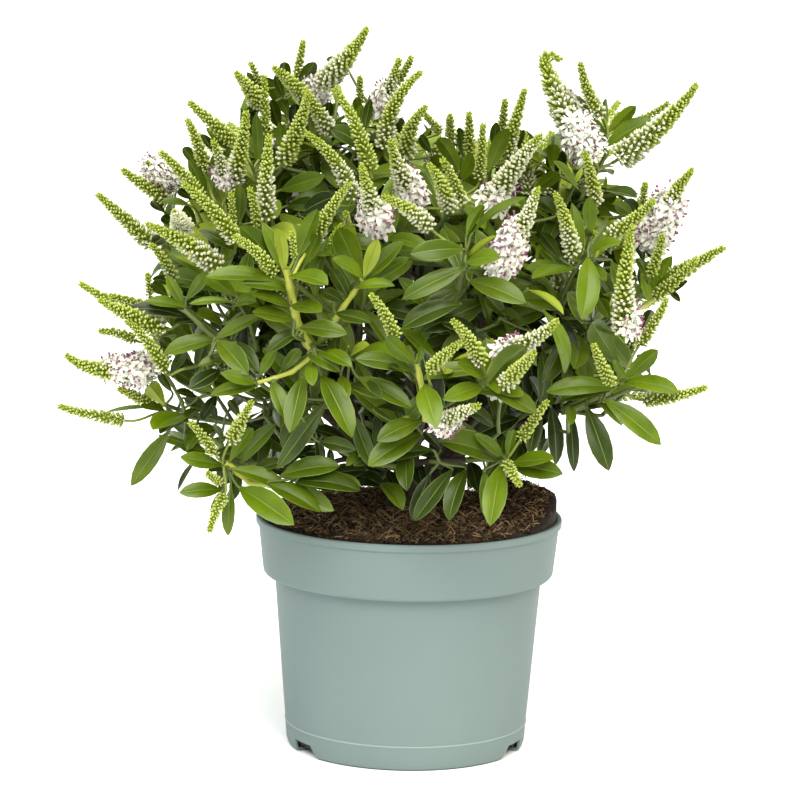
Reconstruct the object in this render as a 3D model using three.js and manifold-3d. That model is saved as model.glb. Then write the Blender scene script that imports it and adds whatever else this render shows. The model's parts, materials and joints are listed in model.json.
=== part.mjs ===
// Hebe shrub in flower, in its round nursery pot.
// Millimetres, +Z up. The origin is the centre of the pot's flat underside, and -Y is the front.
import * as THREE from "three";
import { mergeVertices } from "three/addons/utils/BufferGeometryUtils.js";
import Module from "manifold-3d";

const wasm = await Module();
wasm.setup();

const UP = new THREE.Vector3(0, 0, 1);
const DEGREE = Math.PI / 180;
const CLEARANCE = 0.3; // between pieces that rest on each other

// The pot: a tapered body with a wider collar and a rolled lip.
const POT_HEIGHT = 144.5;
const RIM_RADIUS = 95;
const LIP_HEIGHT = 5.5;
const COLLAR_TOP_RADIUS = 93.4; // just under the lip
const COLLAR_FOOT_RADIUS = 90.3;
const COLLAR_FOOT_HEIGHT = 109;
const BODY_TOP_RADIUS = 83.2;
const BODY_FOOT_RADIUS = 74.3;
const POT_WALL = 1.8;
const POT_FLOOR = 2;
const POT_SEGMENTS = 40;
// Drain slots in the foot of the wall: heading in degrees from +X, and the way the slant faces.
const NOTCHES = [
  [95, 1],
  [215, 1],
  [335, -1],
];
const NOTCH_WIDTH = 17;
const NOTCH_HEIGHT = 8;
const NOTCH_SLANT = 4; // wider by this at its foot, and narrower by this at its top
const NOTCH_INNER_RADIUS = 62;

// The compost: level at the middle, falling to the wall, with one heap at the back on the right.
const SOIL_EDGE_HEIGHT = 140;
const SOIL_MOUND = 5;
const SOIL_LEVEL_RADIUS = 24;
const HEAP_PLACE = new THREE.Vector2(66, 36);
const HEAP_HEIGHT = 12;
const HEAP_WIDTH = 17;
const SOIL_SEGMENTS = 28;

// The woody foot that the stems rise from.
const CROWN_FOOT_RADIUS = 19;
const CROWN_SHOULDER_RADIUS = 13;
const CROWN_HEIGHT = 17;
const CROWN_LOBES = 7;
const CROWN_LOBE_DEPTH = 0.09;

// Limbs, from the foot to the start of the foliage.
const STEM_FOOT_RADIUS = 2.7;
const STEM_TIP_RADIUS = 1.9;
const BOUGH_FOOT_RADIUS = 2.2;
const BOUGH_TIP_RADIUS = 1.6;
const LIMB_SIDES = 5;
const LIMB_STEP = 32; // length of limb between two rings

// One mass of foliage: a stem, side shoots in opposite pairs, leaves in crossed pairs, flower spikes.
const MASS_STEM_LENGTH = 88; // at most, and at most this share of the whole limb:
const MASS_STEM_SHARE = 0.58;
const HEART_DEPTH = 30; // from the end of the stem back to the heart of the mass's space
const TWIG_FOOT_RADIUS = 1.9;
const TWIG_TIP_RADIUS = 1.3;
const TWIG_SIDES = 3;
const SHOOT_PAIR_COUNT = 2; // pairs of side shoots, unless a mass states its own
const SHOOT_ANGLE = 50 * DEGREE; // between a side shoot's foot and the stem
const SHOOT_LENGTHS = [64, 58, 50];
const SHOOT_TURN_SPREAD = 28; // degrees
const SHOOT_STARTS = [0.18, 0.41, 0.64]; // shares of the mass's stem
const LEAF_WIDTH_SHARE = 0.46;
const LEAF_KEEL = 1.6; // how far the midrib's underside hangs below the edges
const LEAF_ARCH = 0.16; // how far the tip nods, as a share of the length
const LEAF_ROOT_OFFSET = -0.3; // from a twig's middle to the root of a leaf sunk in it
const CROSSING_VOLUME = 0.05; // pieces of one mass that share more than this (cubic mm) cross each other
const SPACE_MARGIN = 0.4; // from a leaf to the border of its mass's space
const LIMB_MARGIN = 1.2; // from a leaf or twig to a limb
const LEAF_EASINGS = [1, 0.8, 1.2, 0.62, 1.4, 0.45]; // other angles tried, as shares of a leaf's own
const SPIKE_SIDES = 5;
const SPIKE_RADIUS = 6.2;
const SPIKE_BOW = 0.12; // how far the tip bows, as a share of the length
const SPIKE_SINK = 2.5; // how far back from a shoot's tip the foot of its spike sits
const LOWEST_LEAF = 151; // no leaf hangs lower
const SIDE_SPIKE_LENGTH = 36; // at least, and up to this much more:
const SIDE_SPIKE_EXTRA = 16;
const LOW_TIP_HEIGHT = 235; // masses lower than this have one side spike at most
const SEED = 4127;

// Leaf pairs from the tip of a shoot downwards: distance from the tip, leaf length, angle to the shoot.
const LEADER_PAIRS = [
  { back: 9, length: 54, angle: 52 },
  { back: 28, length: 58, angle: 74 },
  { back: 46, length: 56, angle: 82 },
];
const SHOOT_PAIRS = [
  { back: 6, length: 52, angle: 48 },
  { back: 23, length: 56, angle: 70 },
];

// One row for each mass and the limb that carries it.
// from: where a stem leaves the foot, by heading and distance from the middle.
// on, fork: the limb that a bough forks from, and how far along it.
// tip: the tip of the mass's leading shoot, across, away and up.
// turn: where round the stem its first side shoots stand, in degrees.
// spike: heading, climb and length of its leading flower spike.
const MASSES = [
  { name: "crown_left", from: [180, 5], tip: [-62, -14, 396], turn: 20, spike: [0, 58, 58] },
  { name: "crown_middle", from: [270, 5], tip: [-6, -44, 384], turn: 60, spike: [30, 78, 44] },
  { name: "crown_right", from: [0, 5], tip: [116, -20, 374], turn: 10, spike: [-5, 31, 68] },
  { name: "left", from: [205, 10.5], tip: [-138, -70, 284], turn: 40, spike: [190, 16, 56] },
  { name: "front_left_low", from: [240, 10.5], tip: [-103, -86, 192], turn: 0, spike: [225, 8, 34] },
  { name: "front_middle", from: [277, 10.5], tip: [10, -148, 250], turn: 30, spike: [320, 38, 40] },
  { name: "right_high", from: [335, 10.5], tip: [148, -28, 298], turn: 70, spike: [-8, 16, 46] },
  { name: "back_right", from: [35, 10.5], tip: [120, 88, 275], pairs: 3, turn: 30, spike: [35, 30, 52] },
  { name: "back", from: [90, 10.5], tip: [10, 142, 285], pairs: 3, turn: 0, spike: [85, 32, 50] },
  { name: "back_left", from: [145, 10.5], tip: [-122, 80, 285], pairs: 3, turn: 50, spike: [150, 28, 56] },
  { name: "upper_left", on: "crown_left", fork: 0.5, tip: [-108, -62, 352], turn: 45, spike: [205, 44, 52] },
  { name: "crown_back", on: "crown_middle", fork: 0.42, tip: [10, 54, 352], pairs: 3, turn: 15, spike: [95, 68, 44] },
  { name: "front_left_high", on: "crown_left", fork: 0.3, tip: [-52, -124, 314], turn: 75, spike: [170, 50, 46] },
  { name: "crown_right_middle", on: "crown_right", fork: 0.48, tip: [66, 8, 368], turn: 35, spike: [30, 72, 62] },
  { name: "front_right_high", on: "crown_middle", fork: 0.3, tip: [50, -114, 332], turn: 20, spike: [300, 48, 48] },
  { name: "left_high", on: "left", fork: 0.5, tip: [-146, -8, 330], turn: 80, spike: [182, 36, 56] },
  { name: "left_low", on: "left", fork: 0.34, tip: [-150, -30, 216], turn: 25, spike: [184, 2, 60] },
  { name: "front_left", on: "front_left_low", fork: 0.5, tip: [-86, -122, 250], turn: 50, spike: [215, 34, 34] },
  { name: "front_low", on: "front_middle", fork: 0.3, tip: [-24, -110, 196], turn: 10, spike: [250, 5, 28] },
  { name: "front_right_low", on: "front_middle", fork: 0.45, tip: [62, -116, 202], turn: 40, spike: [320, 30, 34] },
  { name: "right", on: "right_high", fork: 0.36, tip: [128, -80, 238], turn: 60, spike: [-12, 2, 50] },
  { name: "right_high_front", on: "right_high", fork: 0.5, tip: [106, -90, 318], turn: 15, spike: [300, 52, 46] },
  { name: "right_low", on: "back_right", fork: 0.3, tip: [118, 6, 222], turn: 55, spike: [10, 20, 38] },
  { name: "back_right_high", on: "crown_right", fork: 0.34, tip: [70, 66, 350], pairs: 3, turn: 65, spike: [50, 52, 50] },
  { name: "back_right_low", on: "back", fork: 0.3, tip: [62, 120, 212], pairs: 3, turn: 20, spike: [60, 20, 44] },
  { name: "back_left_high", on: "back_left", fork: 0.45, tip: [-72, 74, 350], pairs: 3, turn: 40, spike: [130, 52, 50] },
  { name: "back_left_low", on: "back", fork: 0.4, tip: [-56, 122, 212], pairs: 3, turn: 70, spike: [115, 20, 44] },
  { name: "left_back_low", on: "back_left", fork: 0.32, tip: [-116, 58, 210], turn: 5, spike: [165, 18, 42] },
];

// Bark, leaf, flower, compost and pot.
const barkMaterial = new THREE.MeshStandardMaterial({ color: 0x5b4a36, roughness: 0.9, metalness: 0 });
const foliageMaterial = new THREE.MeshStandardMaterial({ color: 0x5f8a2c, roughness: 0.5, metalness: 0 });
const soilMaterial = new THREE.MeshStandardMaterial({ color: 0x3b2616, roughness: 1, metalness: 0 });
const potMaterial = new THREE.MeshStandardMaterial({ color: 0x9fb4ac, roughness: 0.5, metalness: 0 });

const vector = (x, y, z) => new THREE.Vector3(x, y, z);
const heading = (degrees) => vector(Math.cos(degrees * DEGREE), Math.sin(degrees * DEGREE), 0);

// A run of draws between 0 and 1 that is the same each time.
function seededDraws(seed) {
  let state = seed;
  return () => {
    state = (state * 16807) % 2147483647;
    return state / 2147483647;
  };
}

// A closed surface as a solid for joining and cutting.
function solidFrom(geometry) {
  const bare = new THREE.BufferGeometry();
  bare.setAttribute("position", geometry.getAttribute("position"));
  bare.setIndex(geometry.getIndex());
  const merged = mergeVertices(bare, 1e-3);
  const corners = merged.index.array;
  const kept = [];
  for (let i = 0; i < corners.length; i += 3) {
    const [a, b, c] = [corners[i], corners[i + 1], corners[i + 2]];
    if (a !== b && b !== c && c !== a) kept.push(a, b, c);
  }
  const mesh = new wasm.Mesh({
    numProp: 3,
    vertProperties: merged.attributes.position.array,
    triVerts: new Uint32Array(kept),
  });
  return new wasm.Manifold(mesh);
}

// The largest body of a solid, with scraps dropped and sealed hollows filled.
function largestBody(solid) {
  const bodies = solid.decompose();
  return bodies.reduce((best, body) => (body.volume() > best.volume() ? body : best));
}

function geometryFrom(solid) {
  const mesh = solid.getMesh();
  const geometry = new THREE.BufferGeometry();
  geometry.setAttribute("position", new THREE.BufferAttribute(mesh.vertProperties, mesh.numProp));
  geometry.setIndex(new THREE.BufferAttribute(mesh.triVerts, 1));
  geometry.computeVertexNormals();
  return geometry;
}

// A solid of revolution about +Z from a profile of [radius, height] pairs, outside first, from foot to top.
function turned(profile, segments) {
  const points = profile.map(([radius, height]) => new THREE.Vector2(radius, height));
  return new THREE.LatheGeometry(points, segments).rotateX(Math.PI / 2);
}

// A closed surface through rings of points, each end capped by a flat fan or by a single point.
function lofted(rings) {
  const positions = [];
  const triangles = [];
  rings.forEach((ring) => ring.forEach((p) => positions.push(p.x, p.y, p.z)));
  const starts = rings.map((_, i) => rings.slice(0, i).reduce((sum, ring) => sum + ring.length, 0));
  for (let i = 0; i + 1 < rings.length; i++) {
    const [low, high] = [rings[i], rings[i + 1]];
    const [a, b] = [starts[i], starts[i + 1]];
    const sides = Math.max(low.length, high.length);
    for (let k = 0; k < sides; k++) {
      const next = (k + 1) % sides;
      if (low.length === 1) triangles.push(a, b + next, b + k);
      else if (high.length === 1) triangles.push(a + k, a + next, b);
      else triangles.push(a + k, a + next, b + next, a + k, b + next, b + k);
    }
  }
  const cap = (start, count, outward) => {
    for (let k = 1; k + 1 < count; k++) {
      if (outward) triangles.push(start, start + k, start + k + 1);
      else triangles.push(start, start + k + 1, start + k);
    }
  };
  cap(starts[0], rings[0].length, false);
  cap(starts.at(-1), rings.at(-1).length, true);
  const geometry = new THREE.BufferGeometry();
  geometry.setAttribute("position", new THREE.Float32BufferAttribute(positions, 3));
  geometry.setIndex(triangles);
  return geometry;
}

// A round-section tapering limb between two distances along a curve.
function taperedLimb(curve, from, to, footRadius, tipRadius, sides, steps) {
  const length = curve.getLength();
  let across = new THREE.Vector3().crossVectors(curve.getTangentAt(from / length), vector(0.3, 0.5, 0.8));
  const rings = [];
  for (let i = 0; i <= steps; i++) {
    const share = i / steps;
    const u = Math.min(1, (from + (to - from) * share) / length);
    const centre = curve.getPointAt(u);
    const along = curve.getTangentAt(u);
    across = across.addScaledVector(along, -across.dot(along)).normalize();
    const aside = new THREE.Vector3().crossVectors(along, across);
    const radius = footRadius + (tipRadius - footRadius) * share;
    const ring = [];
    for (let k = 0; k < sides; k++) {
      const angle = (2 * Math.PI * k) / sides;
      const point = centre.clone().addScaledVector(across, radius * Math.cos(angle));
      ring.push(point.addScaledVector(aside, radius * Math.sin(angle)));
    }
    rings.push(ring);
  }
  return lofted(rings);
}

// ---- Pot ----

function potShell() {
  const lipFoot = POT_HEIGHT - LIP_HEIGHT;
  const profile = [
    [0, 0],
    [BODY_FOOT_RADIUS - 3.4, 0],
    [BODY_FOOT_RADIUS - 0.6, 1.2],
    [BODY_FOOT_RADIUS + 0.3, 4],
    [BODY_TOP_RADIUS, COLLAR_FOOT_HEIGHT + 0.5],
    [COLLAR_FOOT_RADIUS - 2.2, COLLAR_FOOT_HEIGHT],
    [COLLAR_FOOT_RADIUS, COLLAR_FOOT_HEIGHT + 2.2],
    [COLLAR_TOP_RADIUS, lipFoot],
    [RIM_RADIUS, lipFoot + 1.5],
    [RIM_RADIUS, POT_HEIGHT - 1.2],
    [RIM_RADIUS - 1.2, POT_HEIGHT],
    [COLLAR_TOP_RADIUS - POT_WALL, POT_HEIGHT],
    [COLLAR_FOOT_RADIUS - POT_WALL, COLLAR_FOOT_HEIGHT + POT_WALL + 1.5],
    [BODY_TOP_RADIUS - POT_WALL, COLLAR_FOOT_HEIGHT + POT_WALL - 1],
    [BODY_FOOT_RADIUS - POT_WALL, POT_FLOOR],
    [0, POT_FLOOR],
  ];
  return solidFrom(turned(profile, POT_SEGMENTS));
}

// One drain slot: upright on one side and slanted on the other, cut through the wall and the edge of the floor.
function drainSlot(degrees, way) {
  const side = (NOTCH_WIDTH / 2) * way;
  const slant = NOTCH_SLANT * way;
  const outline = new THREE.Shape();
  outline.moveTo(-side, -1);
  outline.lineTo(side + slant, -1);
  outline.lineTo(side - slant, NOTCH_HEIGHT);
  outline.lineTo(-side, NOTCH_HEIGHT);
  outline.closePath();
  const depth = BODY_TOP_RADIUS - NOTCH_INNER_RADIUS;
  const slot = new THREE.ExtrudeGeometry(outline, { depth, bevelEnabled: false });
  slot.rotateX(Math.PI / 2).rotateZ(Math.PI).translate(0, NOTCH_INNER_RADIUS, 0);
  return solidFrom(slot.rotateZ((degrees - 90) * DEGREE));
}

function pot() {
  return NOTCHES.reduce((shell, [degrees, way]) => shell.subtract(drainSlot(degrees, way)), potShell());
}

// ---- Compost ----

function soilHeight(x, y) {
  const radius = Math.hypot(x, y);
  const wall = COLLAR_FOOT_RADIUS;
  const fall = Math.min(1, Math.max(0, (radius - SOIL_LEVEL_RADIUS) / (wall - SOIL_LEVEL_RADIUS)));
  const away = Math.hypot(x - HEAP_PLACE.x, y - HEAP_PLACE.y) / HEAP_WIDTH;
  const edge = Math.max(0, 1 - Math.pow(radius / wall, 10));
  return SOIL_EDGE_HEIGHT + SOIL_MOUND * (1 - fall * fall) + HEAP_HEIGHT * Math.exp(-away * away) * edge;
}

function soil() {
  const inset = POT_WALL + CLEARANCE;
  const top = [COLLAR_FOOT_RADIUS - 0.6, 83, 74, 64, 52, 38, SOIL_LEVEL_RADIUS, 0];
  const profile = [
    [0, POT_FLOOR + CLEARANCE],
    [BODY_FOOT_RADIUS - inset, POT_FLOOR + CLEARANCE],
    [BODY_TOP_RADIUS - inset, COLLAR_FOOT_HEIGHT + 1],
    [COLLAR_FOOT_RADIUS - inset, COLLAR_FOOT_HEIGHT + 4],
    ...top.map((radius) => [radius, SOIL_EDGE_HEIGHT]),
  ];
  const geometry = turned(profile, SOIL_SEGMENTS);
  const position = geometry.getAttribute("position");
  for (let i = 0; i < position.count; i++) {
    if (position.getZ(i) < SOIL_EDGE_HEIGHT - 1) continue;
    position.setZ(i, soilHeight(position.getX(i), position.getY(i)));
  }
  return solidFrom(geometry);
}

const SOIL_TOP = SOIL_EDGE_HEIGHT + SOIL_MOUND;

// ---- Woody foot, stems and boughs ----

// The foot of the plant, cut flat on the compost, flaring into low lobes; `grown` makes it larger all round.
function woodyFoot(grown) {
  const base = SOIL_TOP + CLEARANCE;
  const profile = [
    [0, base - grown],
    [CROWN_FOOT_RADIUS + grown, base - grown],
    [CROWN_FOOT_RADIUS - 3 + grown, base + 3],
    [CROWN_SHOULDER_RADIUS + 0.6 + grown, base + 8],
    [CROWN_SHOULDER_RADIUS + grown, base + CROWN_HEIGHT - 4],
    [CROWN_SHOULDER_RADIUS - 4 + grown, base + CROWN_HEIGHT + grown],
    [0, base + CROWN_HEIGHT + 1 + grown],
  ];
  const geometry = turned(profile, 3 * CROWN_LOBES);
  const position = geometry.getAttribute("position");
  for (let i = 0; i < position.count; i++) {
    const [x, y] = [position.getX(i), position.getY(i)];
    const low = 1 - (position.getZ(i) - base) / CROWN_HEIGHT;
    const lobe = 1 + CROWN_LOBE_DEPTH * Math.max(0, low) * Math.cos(CROWN_LOBES * Math.atan2(y, x));
    position.setX(i, x * lobe);
    position.setY(i, y * lobe);
  }
  return solidFrom(geometry);
}

// The way that a shoot points at its tip: outwards from the plant's middle, and up.
function growthAt(tip) {
  const outward = tip.clone().sub(vector(0, 0, 225)).normalize();
  return outward.addScaledVector(UP, 0.45).normalize();
}

// The centre line from a limb's foot, through the bough, to the tip of the mass's leading shoot.
function growthLine(foot, leaving, tip) {
  const span = foot.distanceTo(tip);
  const rise = foot.clone().addScaledVector(leaving, span * 0.36);
  const reach = tip.clone().addScaledVector(growthAt(tip), -span * 0.34);
  return new THREE.CubicBezierCurve3(foot, rise, reach, tip);
}

function planLimbs() {
  const limbs = new Map();
  const top = SOIL_TOP + CLEARANCE + CROWN_HEIGHT;
  for (const row of MASSES) {
    const tip = vector(...row.tip);
    const parent = limbs.get(row.on);
    let line;
    if (parent) {
      const place = (parent.boughEnd * row.fork) / parent.line.getLength();
      const foot = parent.line.getPointAt(place);
      const aim = tip.clone().sub(foot).normalize();
      line = growthLine(foot, aim.addScaledVector(parent.line.getTangentAt(place), 0.35).normalize(), tip);
    } else {
      const foot = heading(row.from[0]).multiplyScalar(row.from[1]).setZ(top - 5);
      const aim = tip.clone().sub(foot).normalize();
      line = growthLine(foot, aim.addScaledVector(UP, 0.5).normalize(), tip);
    }
    const heart = tip.clone().addScaledVector(growthAt(tip), -HEART_DEPTH);
    const length = line.getLength();
    const stemLength = Math.min(MASS_STEM_LENGTH, MASS_STEM_SHARE * length);
    limbs.set(row.name, { row, parent, line, heart, stemLength, boughEnd: length - stemLength });
  }
  return limbs;
}

function boughSurface(limb, grown) {
  const foot = (limb.parent ? BOUGH_FOOT_RADIUS : STEM_FOOT_RADIUS) + grown;
  const tip = (limb.parent ? BOUGH_TIP_RADIUS : STEM_TIP_RADIUS) + grown;
  const steps = Math.max(2, Math.round(limb.boughEnd / LIMB_STEP));
  return taperedLimb(limb.line, 0, limb.boughEnd, foot, tip, LIMB_SIDES, steps);
}

// A bough, with the limb that carries it cut away clear.
function bough(limb) {
  const solid = solidFrom(boughSurface(limb, 0));
  const allRound = CLEARANCE / Math.cos(Math.PI / LIMB_SIDES);
  const carrier = limb.parent ? solidFrom(boughSurface(limb.parent, allRound)) : woodyFoot(CLEARANCE);
  return largestBody(solid.subtract(carrier));
}

// ---- Foliage ----

// Points along the bare limbs, with the radius there, that leaves and twigs keep clear of.
function limbPoints(limbs) {
  const points = [];
  for (const limb of limbs.values()) {
    const foot = limb.parent ? BOUGH_FOOT_RADIUS : STEM_FOOT_RADIUS;
    for (let at = 0; at < limb.boughEnd; at += 3) {
      points.push({ limb, at: limb.line.getPointAt(at / limb.line.getLength()), radius: foot });
    }
  }
  return points;
}

// Whether every point stays in the space nearest to the mass's own heart, and high enough.
function insideSpace(points, limb, limbs) {
  return points.every((p) => {
    if (p.z < Math.max(LOWEST_LEAF, soilHeight(p.x, p.y) + 2)) return false;
    for (const other of limbs.values()) {
      if (other === limb) continue;
      const apart = other.heart.distanceTo(limb.heart);
      const room = (p.distanceToSquared(other.heart) - p.distanceToSquared(limb.heart)) / (2 * apart);
      if (room < SPACE_MARGIN) return false;
    }
    return true;
  });
}

// Whether a strip between two points, this wide to each side, keeps off the limbs.
function clearOfLimbs(foot, tip, halfWidth, barePoints) {
  const line = new THREE.Line3(foot, tip);
  const nearest = new THREE.Vector3();
  return barePoints.every(({ at, radius }) => {
    line.closestPointToPoint(at, true, nearest);
    return nearest.distanceTo(at) > radius + halfWidth + LIMB_MARGIN;
  });
}

// A leaf's five corners: root, nodding tip, an edge on each side, and the keel under its midrib.
function leafCorners(root, along, upper, length) {
  const side = new THREE.Vector3().crossVectors(along, upper).multiplyScalar((length * LEAF_WIDTH_SHARE) / 2);
  const middle = root.clone().addScaledVector(along, length * 0.52);
  return {
    root,
    tip: root.clone().addScaledVector(along, length).addScaledVector(upper, -length * LEAF_ARCH),
    left: middle.clone().sub(side),
    right: middle.clone().add(side),
    keel: middle.clone().addScaledVector(upper, -LEAF_KEEL),
  };
}

function leafSolid({ root, tip, left, right, keel }) {
  const corners = [root, tip, left, right, keel];
  const geometry = new THREE.BufferGeometry().setFromPoints(corners);
  geometry.setIndex([0, 3, 2, 1, 2, 3, 0, 2, 4, 0, 4, 3, 1, 4, 2, 1, 3, 4]);
  return solidFrom(geometry);
}

// A flower spike: narrow at its foot, widest a quarter of the way up, tapering to its tip, and slightly bowed.
function spikeRings(foot, direction, bow, length) {
  const shares = [
    [0, 0.25],
    [0.24, 1],
    [0.7, 0.66],
  ];
  const across = new THREE.Vector3().crossVectors(direction, vector(0.2, 0.4, 0.9)).normalize();
  const aside = new THREE.Vector3().crossVectors(direction, across);
  const bowed = (share) => {
    const centre = foot.clone().addScaledVector(direction, length * share);
    return centre.addScaledVector(bow, length * SPIKE_BOW * share * share);
  };
  const rings = shares.map(([share, width], level) => {
    const centre = bowed(share);
    const ring = [];
    for (let k = 0; k < SPIKE_SIDES; k++) {
      const angle = (2 * Math.PI * (k + level / 2)) / SPIKE_SIDES;
      const point = centre.clone().addScaledVector(across, SPIKE_RADIUS * width * Math.cos(angle));
      ring.push(point.addScaledVector(aside, SPIKE_RADIUS * width * Math.sin(angle)));
    }
    return ring;
  });
  return [...rings, [bowed(1)]];
}

// Leaves in crossed pairs from the tip of a shoot downwards, each tilted in until it fits its space.
function addLeaves(shoot, pairs, place, draw) {
  const length = shoot.line.getLength();
  pairs.forEach((pair, level) => {
    const u = Math.max(0.1, 1 - pair.back / length);
    const node = shoot.line.getPointAt(u);
    const axis = shoot.line.getTangentAt(u);
    const start = shoot.side.clone().applyAxisAngle(axis, level * (Math.PI / 2) + (draw() - 0.5) * 0.4);
    for (const way of [1, -1]) {
      const size = pair.length * (0.92 + 0.16 * draw());
      const lean = (draw() - 0.5) * 12;
      const out = start.clone().addScaledVector(axis, -start.dot(axis)).normalize().multiplyScalar(way);
      for (const easing of LEAF_EASINGS) {
        const angle = (pair.angle + lean) * easing * DEGREE;
        const along = axis.clone().multiplyScalar(Math.cos(angle)).addScaledVector(out, Math.sin(angle));
        const upper = axis.clone().multiplyScalar(Math.sin(angle)).addScaledVector(out, -Math.cos(angle));
        upper.addScaledVector(UP, 0.35).addScaledVector(along, -0.35 * along.z).normalize();
        const root = node.clone().addScaledVector(out, LEAF_ROOT_OFFSET);
        const corners = leafCorners(root, along, upper, size);
        if (!place.inside(Object.values(corners))) continue;
        if (!place.clear(root, corners.tip, (size * LEAF_WIDTH_SHARE) / 2)) continue;
        if (place.add(leafSolid(corners), shoot)) break;
      }
    }
  });
}

// A direction square to an axis, turned this many degrees about it from level.
function sideways(axis, degrees) {
  const level = new THREE.Vector3().crossVectors(axis, UP).normalize();
  return level.applyAxisAngle(axis, degrees * DEGREE);
}

// The side shoots of a mass: opposite pairs along its stem, each pair a quarter turn on from the last.
function sideShoots(limb, draw) {
  const shoots = [];
  const length = limb.line.getLength();
  for (let level = 0; level < (limb.row.pairs ?? SHOOT_PAIR_COUNT); level++) {
    const u = (limb.boughEnd + SHOOT_STARTS[level] * limb.stemLength) / length;
    const foot = limb.line.getPointAt(u);
    const axis = limb.line.getTangentAt(u);
    for (const way of [0, 180]) {
      const side = sideways(axis, limb.row.turn + 90 * level + way + (draw() - 0.5) * SHOOT_TURN_SPREAD);
      const growth = limb.stemLength / MASS_STEM_LENGTH;
      const reach = SHOOT_LENGTHS[level] * growth * (0.88 + 0.24 * draw());
      const leaving = axis.clone().multiplyScalar(Math.cos(SHOOT_ANGLE));
      leaving.addScaledVector(side, Math.sin(SHOOT_ANGLE));
      const lift = axis.clone().multiplyScalar(0.8).addScaledVector(side, 0.4);
      lift.addScaledVector(UP, 0.25).normalize();
      const bend = foot.clone().addScaledVector(leaving, reach / 2);
      const tip = bend.clone().addScaledVector(lift, reach / 2);
      shoots.push({ line: new THREE.LineCurve3(foot, tip), side, lift, tip });
    }
  }
  return shoots;
}

// Whether two solids' boxes meet.
function boxesMeet(a, b) {
  return [0, 1, 2].every((axis) => a.min[axis] < b.max[axis] && b.min[axis] < a.max[axis]);
}

// One mass of foliage: stem and side shoots first, then the flower spikes, then the leaves between them.
function mass(limb, limbs, barePoints, index) {
  const draw = seededDraws(SEED + 97 * index);
  const others = barePoints.filter((point) => point.limb !== limb);
  const pieces = [];
  const keep = (solid, shoot) => pieces.push({ solid, shoot, box: solid.boundingBox() });
  const place = {
    inside: (points) => insideSpace(points, limb, limbs),
    clear: (foot, tip, halfWidth) => clearOfLimbs(foot, tip, halfWidth, barePoints),
    add: (solid, shoot) => {
      const box = solid.boundingBox();
      const crosses = pieces.some((piece) => {
        if (piece.shoot === shoot || !boxesMeet(piece.box, box)) return false;
        return piece.solid.intersect(solid).volume() > CROSSING_VOLUME;
      });
      if (!crosses) pieces.push({ solid, box });
      return !crosses;
    },
  };

  const length = limb.line.getLength();
  const start = limb.boughEnd + CLEARANCE;
  const leader = { line: limb.line, side: sideways(limb.line.getTangentAt(1), limb.row.turn + 45) };
  keep(solidFrom(taperedLimb(limb.line, start, length, TWIG_FOOT_RADIUS, TWIG_TIP_RADIUS, TWIG_SIDES, 4)), leader);
  const shoots = sideShoots(limb, draw).filter((shoot) => {
    const points = shoot.line.getPoints(4);
    return place.inside(points) && clearOfLimbs(points[1], shoot.tip, TWIG_FOOT_RADIUS, others);
  });
  shoots.forEach((shoot) => {
    const reach = shoot.line.getLength();
    keep(solidFrom(taperedLimb(shoot.line, 0, reach, TWIG_TIP_RADIUS, TWIG_TIP_RADIUS, TWIG_SIDES, 1)), shoot);
  });

  const addSpike = (shoot, direction, spikeLength) => {
    const bow = UP.clone().multiplyScalar(draw() < 0.7 ? 1 : -0.6);
    const foot = shoot.line.getPointAt(1 - SPIKE_SINK / shoot.line.getLength());
    for (const easing of [1, 0.85, 0.7]) {
      const rings = spikeRings(foot, direction, bow, spikeLength * easing);
      if (place.inside(rings.slice(1).flat()) && place.add(solidFrom(lofted(rings)), shoot)) return;
    }
  };
  const [spikeHeading, climb, spikeLength] = limb.row.spike;
  const spikeWay = heading(spikeHeading).multiplyScalar(Math.cos(climb * DEGREE));
  addSpike(leader, spikeWay.addScaledVector(UP, Math.sin(climb * DEGREE)), spikeLength);
  shoots.forEach((shoot, k) => {
    if (k % 2 === 1 || (k > 0 && limb.row.tip[2] < LOW_TIP_HEIGHT)) return;
    const way = shoot.lift.clone().addScaledVector(shoot.side, 0.35).addScaledVector(UP, 0.25).normalize();
    addSpike(shoot, way, SIDE_SPIKE_LENGTH + SIDE_SPIKE_EXTRA * draw());
  });

  addLeaves(leader, LEADER_PAIRS, place, draw);
  shoots.forEach((shoot) => addLeaves(shoot, SHOOT_PAIRS, place, draw));
  return largestBody(wasm.Manifold.union(pieces.map((piece) => piece.solid)));
}

// ---- The whole plant ----

const plant = new THREE.Group();

function addPiece(name, solid, material) {
  const mesh = new THREE.Mesh(geometryFrom(solid), material);
  mesh.name = name;
  plant.add(mesh);
}

const limbs = planLimbs();
const barePoints = limbPoints(limbs);
addPiece("pot", pot(), potMaterial);
addPiece("soil", soil(), soilMaterial);
addPiece("woody_foot", woodyFoot(0), barkMaterial);
[...limbs.values()].forEach((limb, index) => {
  const kind = limb.parent ? "bough_" : "stem_";
  addPiece(kind + limb.row.name, bough(limb), barkMaterial);
  addPiece("foliage_" + limb.row.name, mass(limb, limbs, barePoints, index), foliageMaterial);
});

export default plant;
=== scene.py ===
"""Looks for a hebe shrub in flower, in its round nursery pot."""
import json
import math

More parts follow.
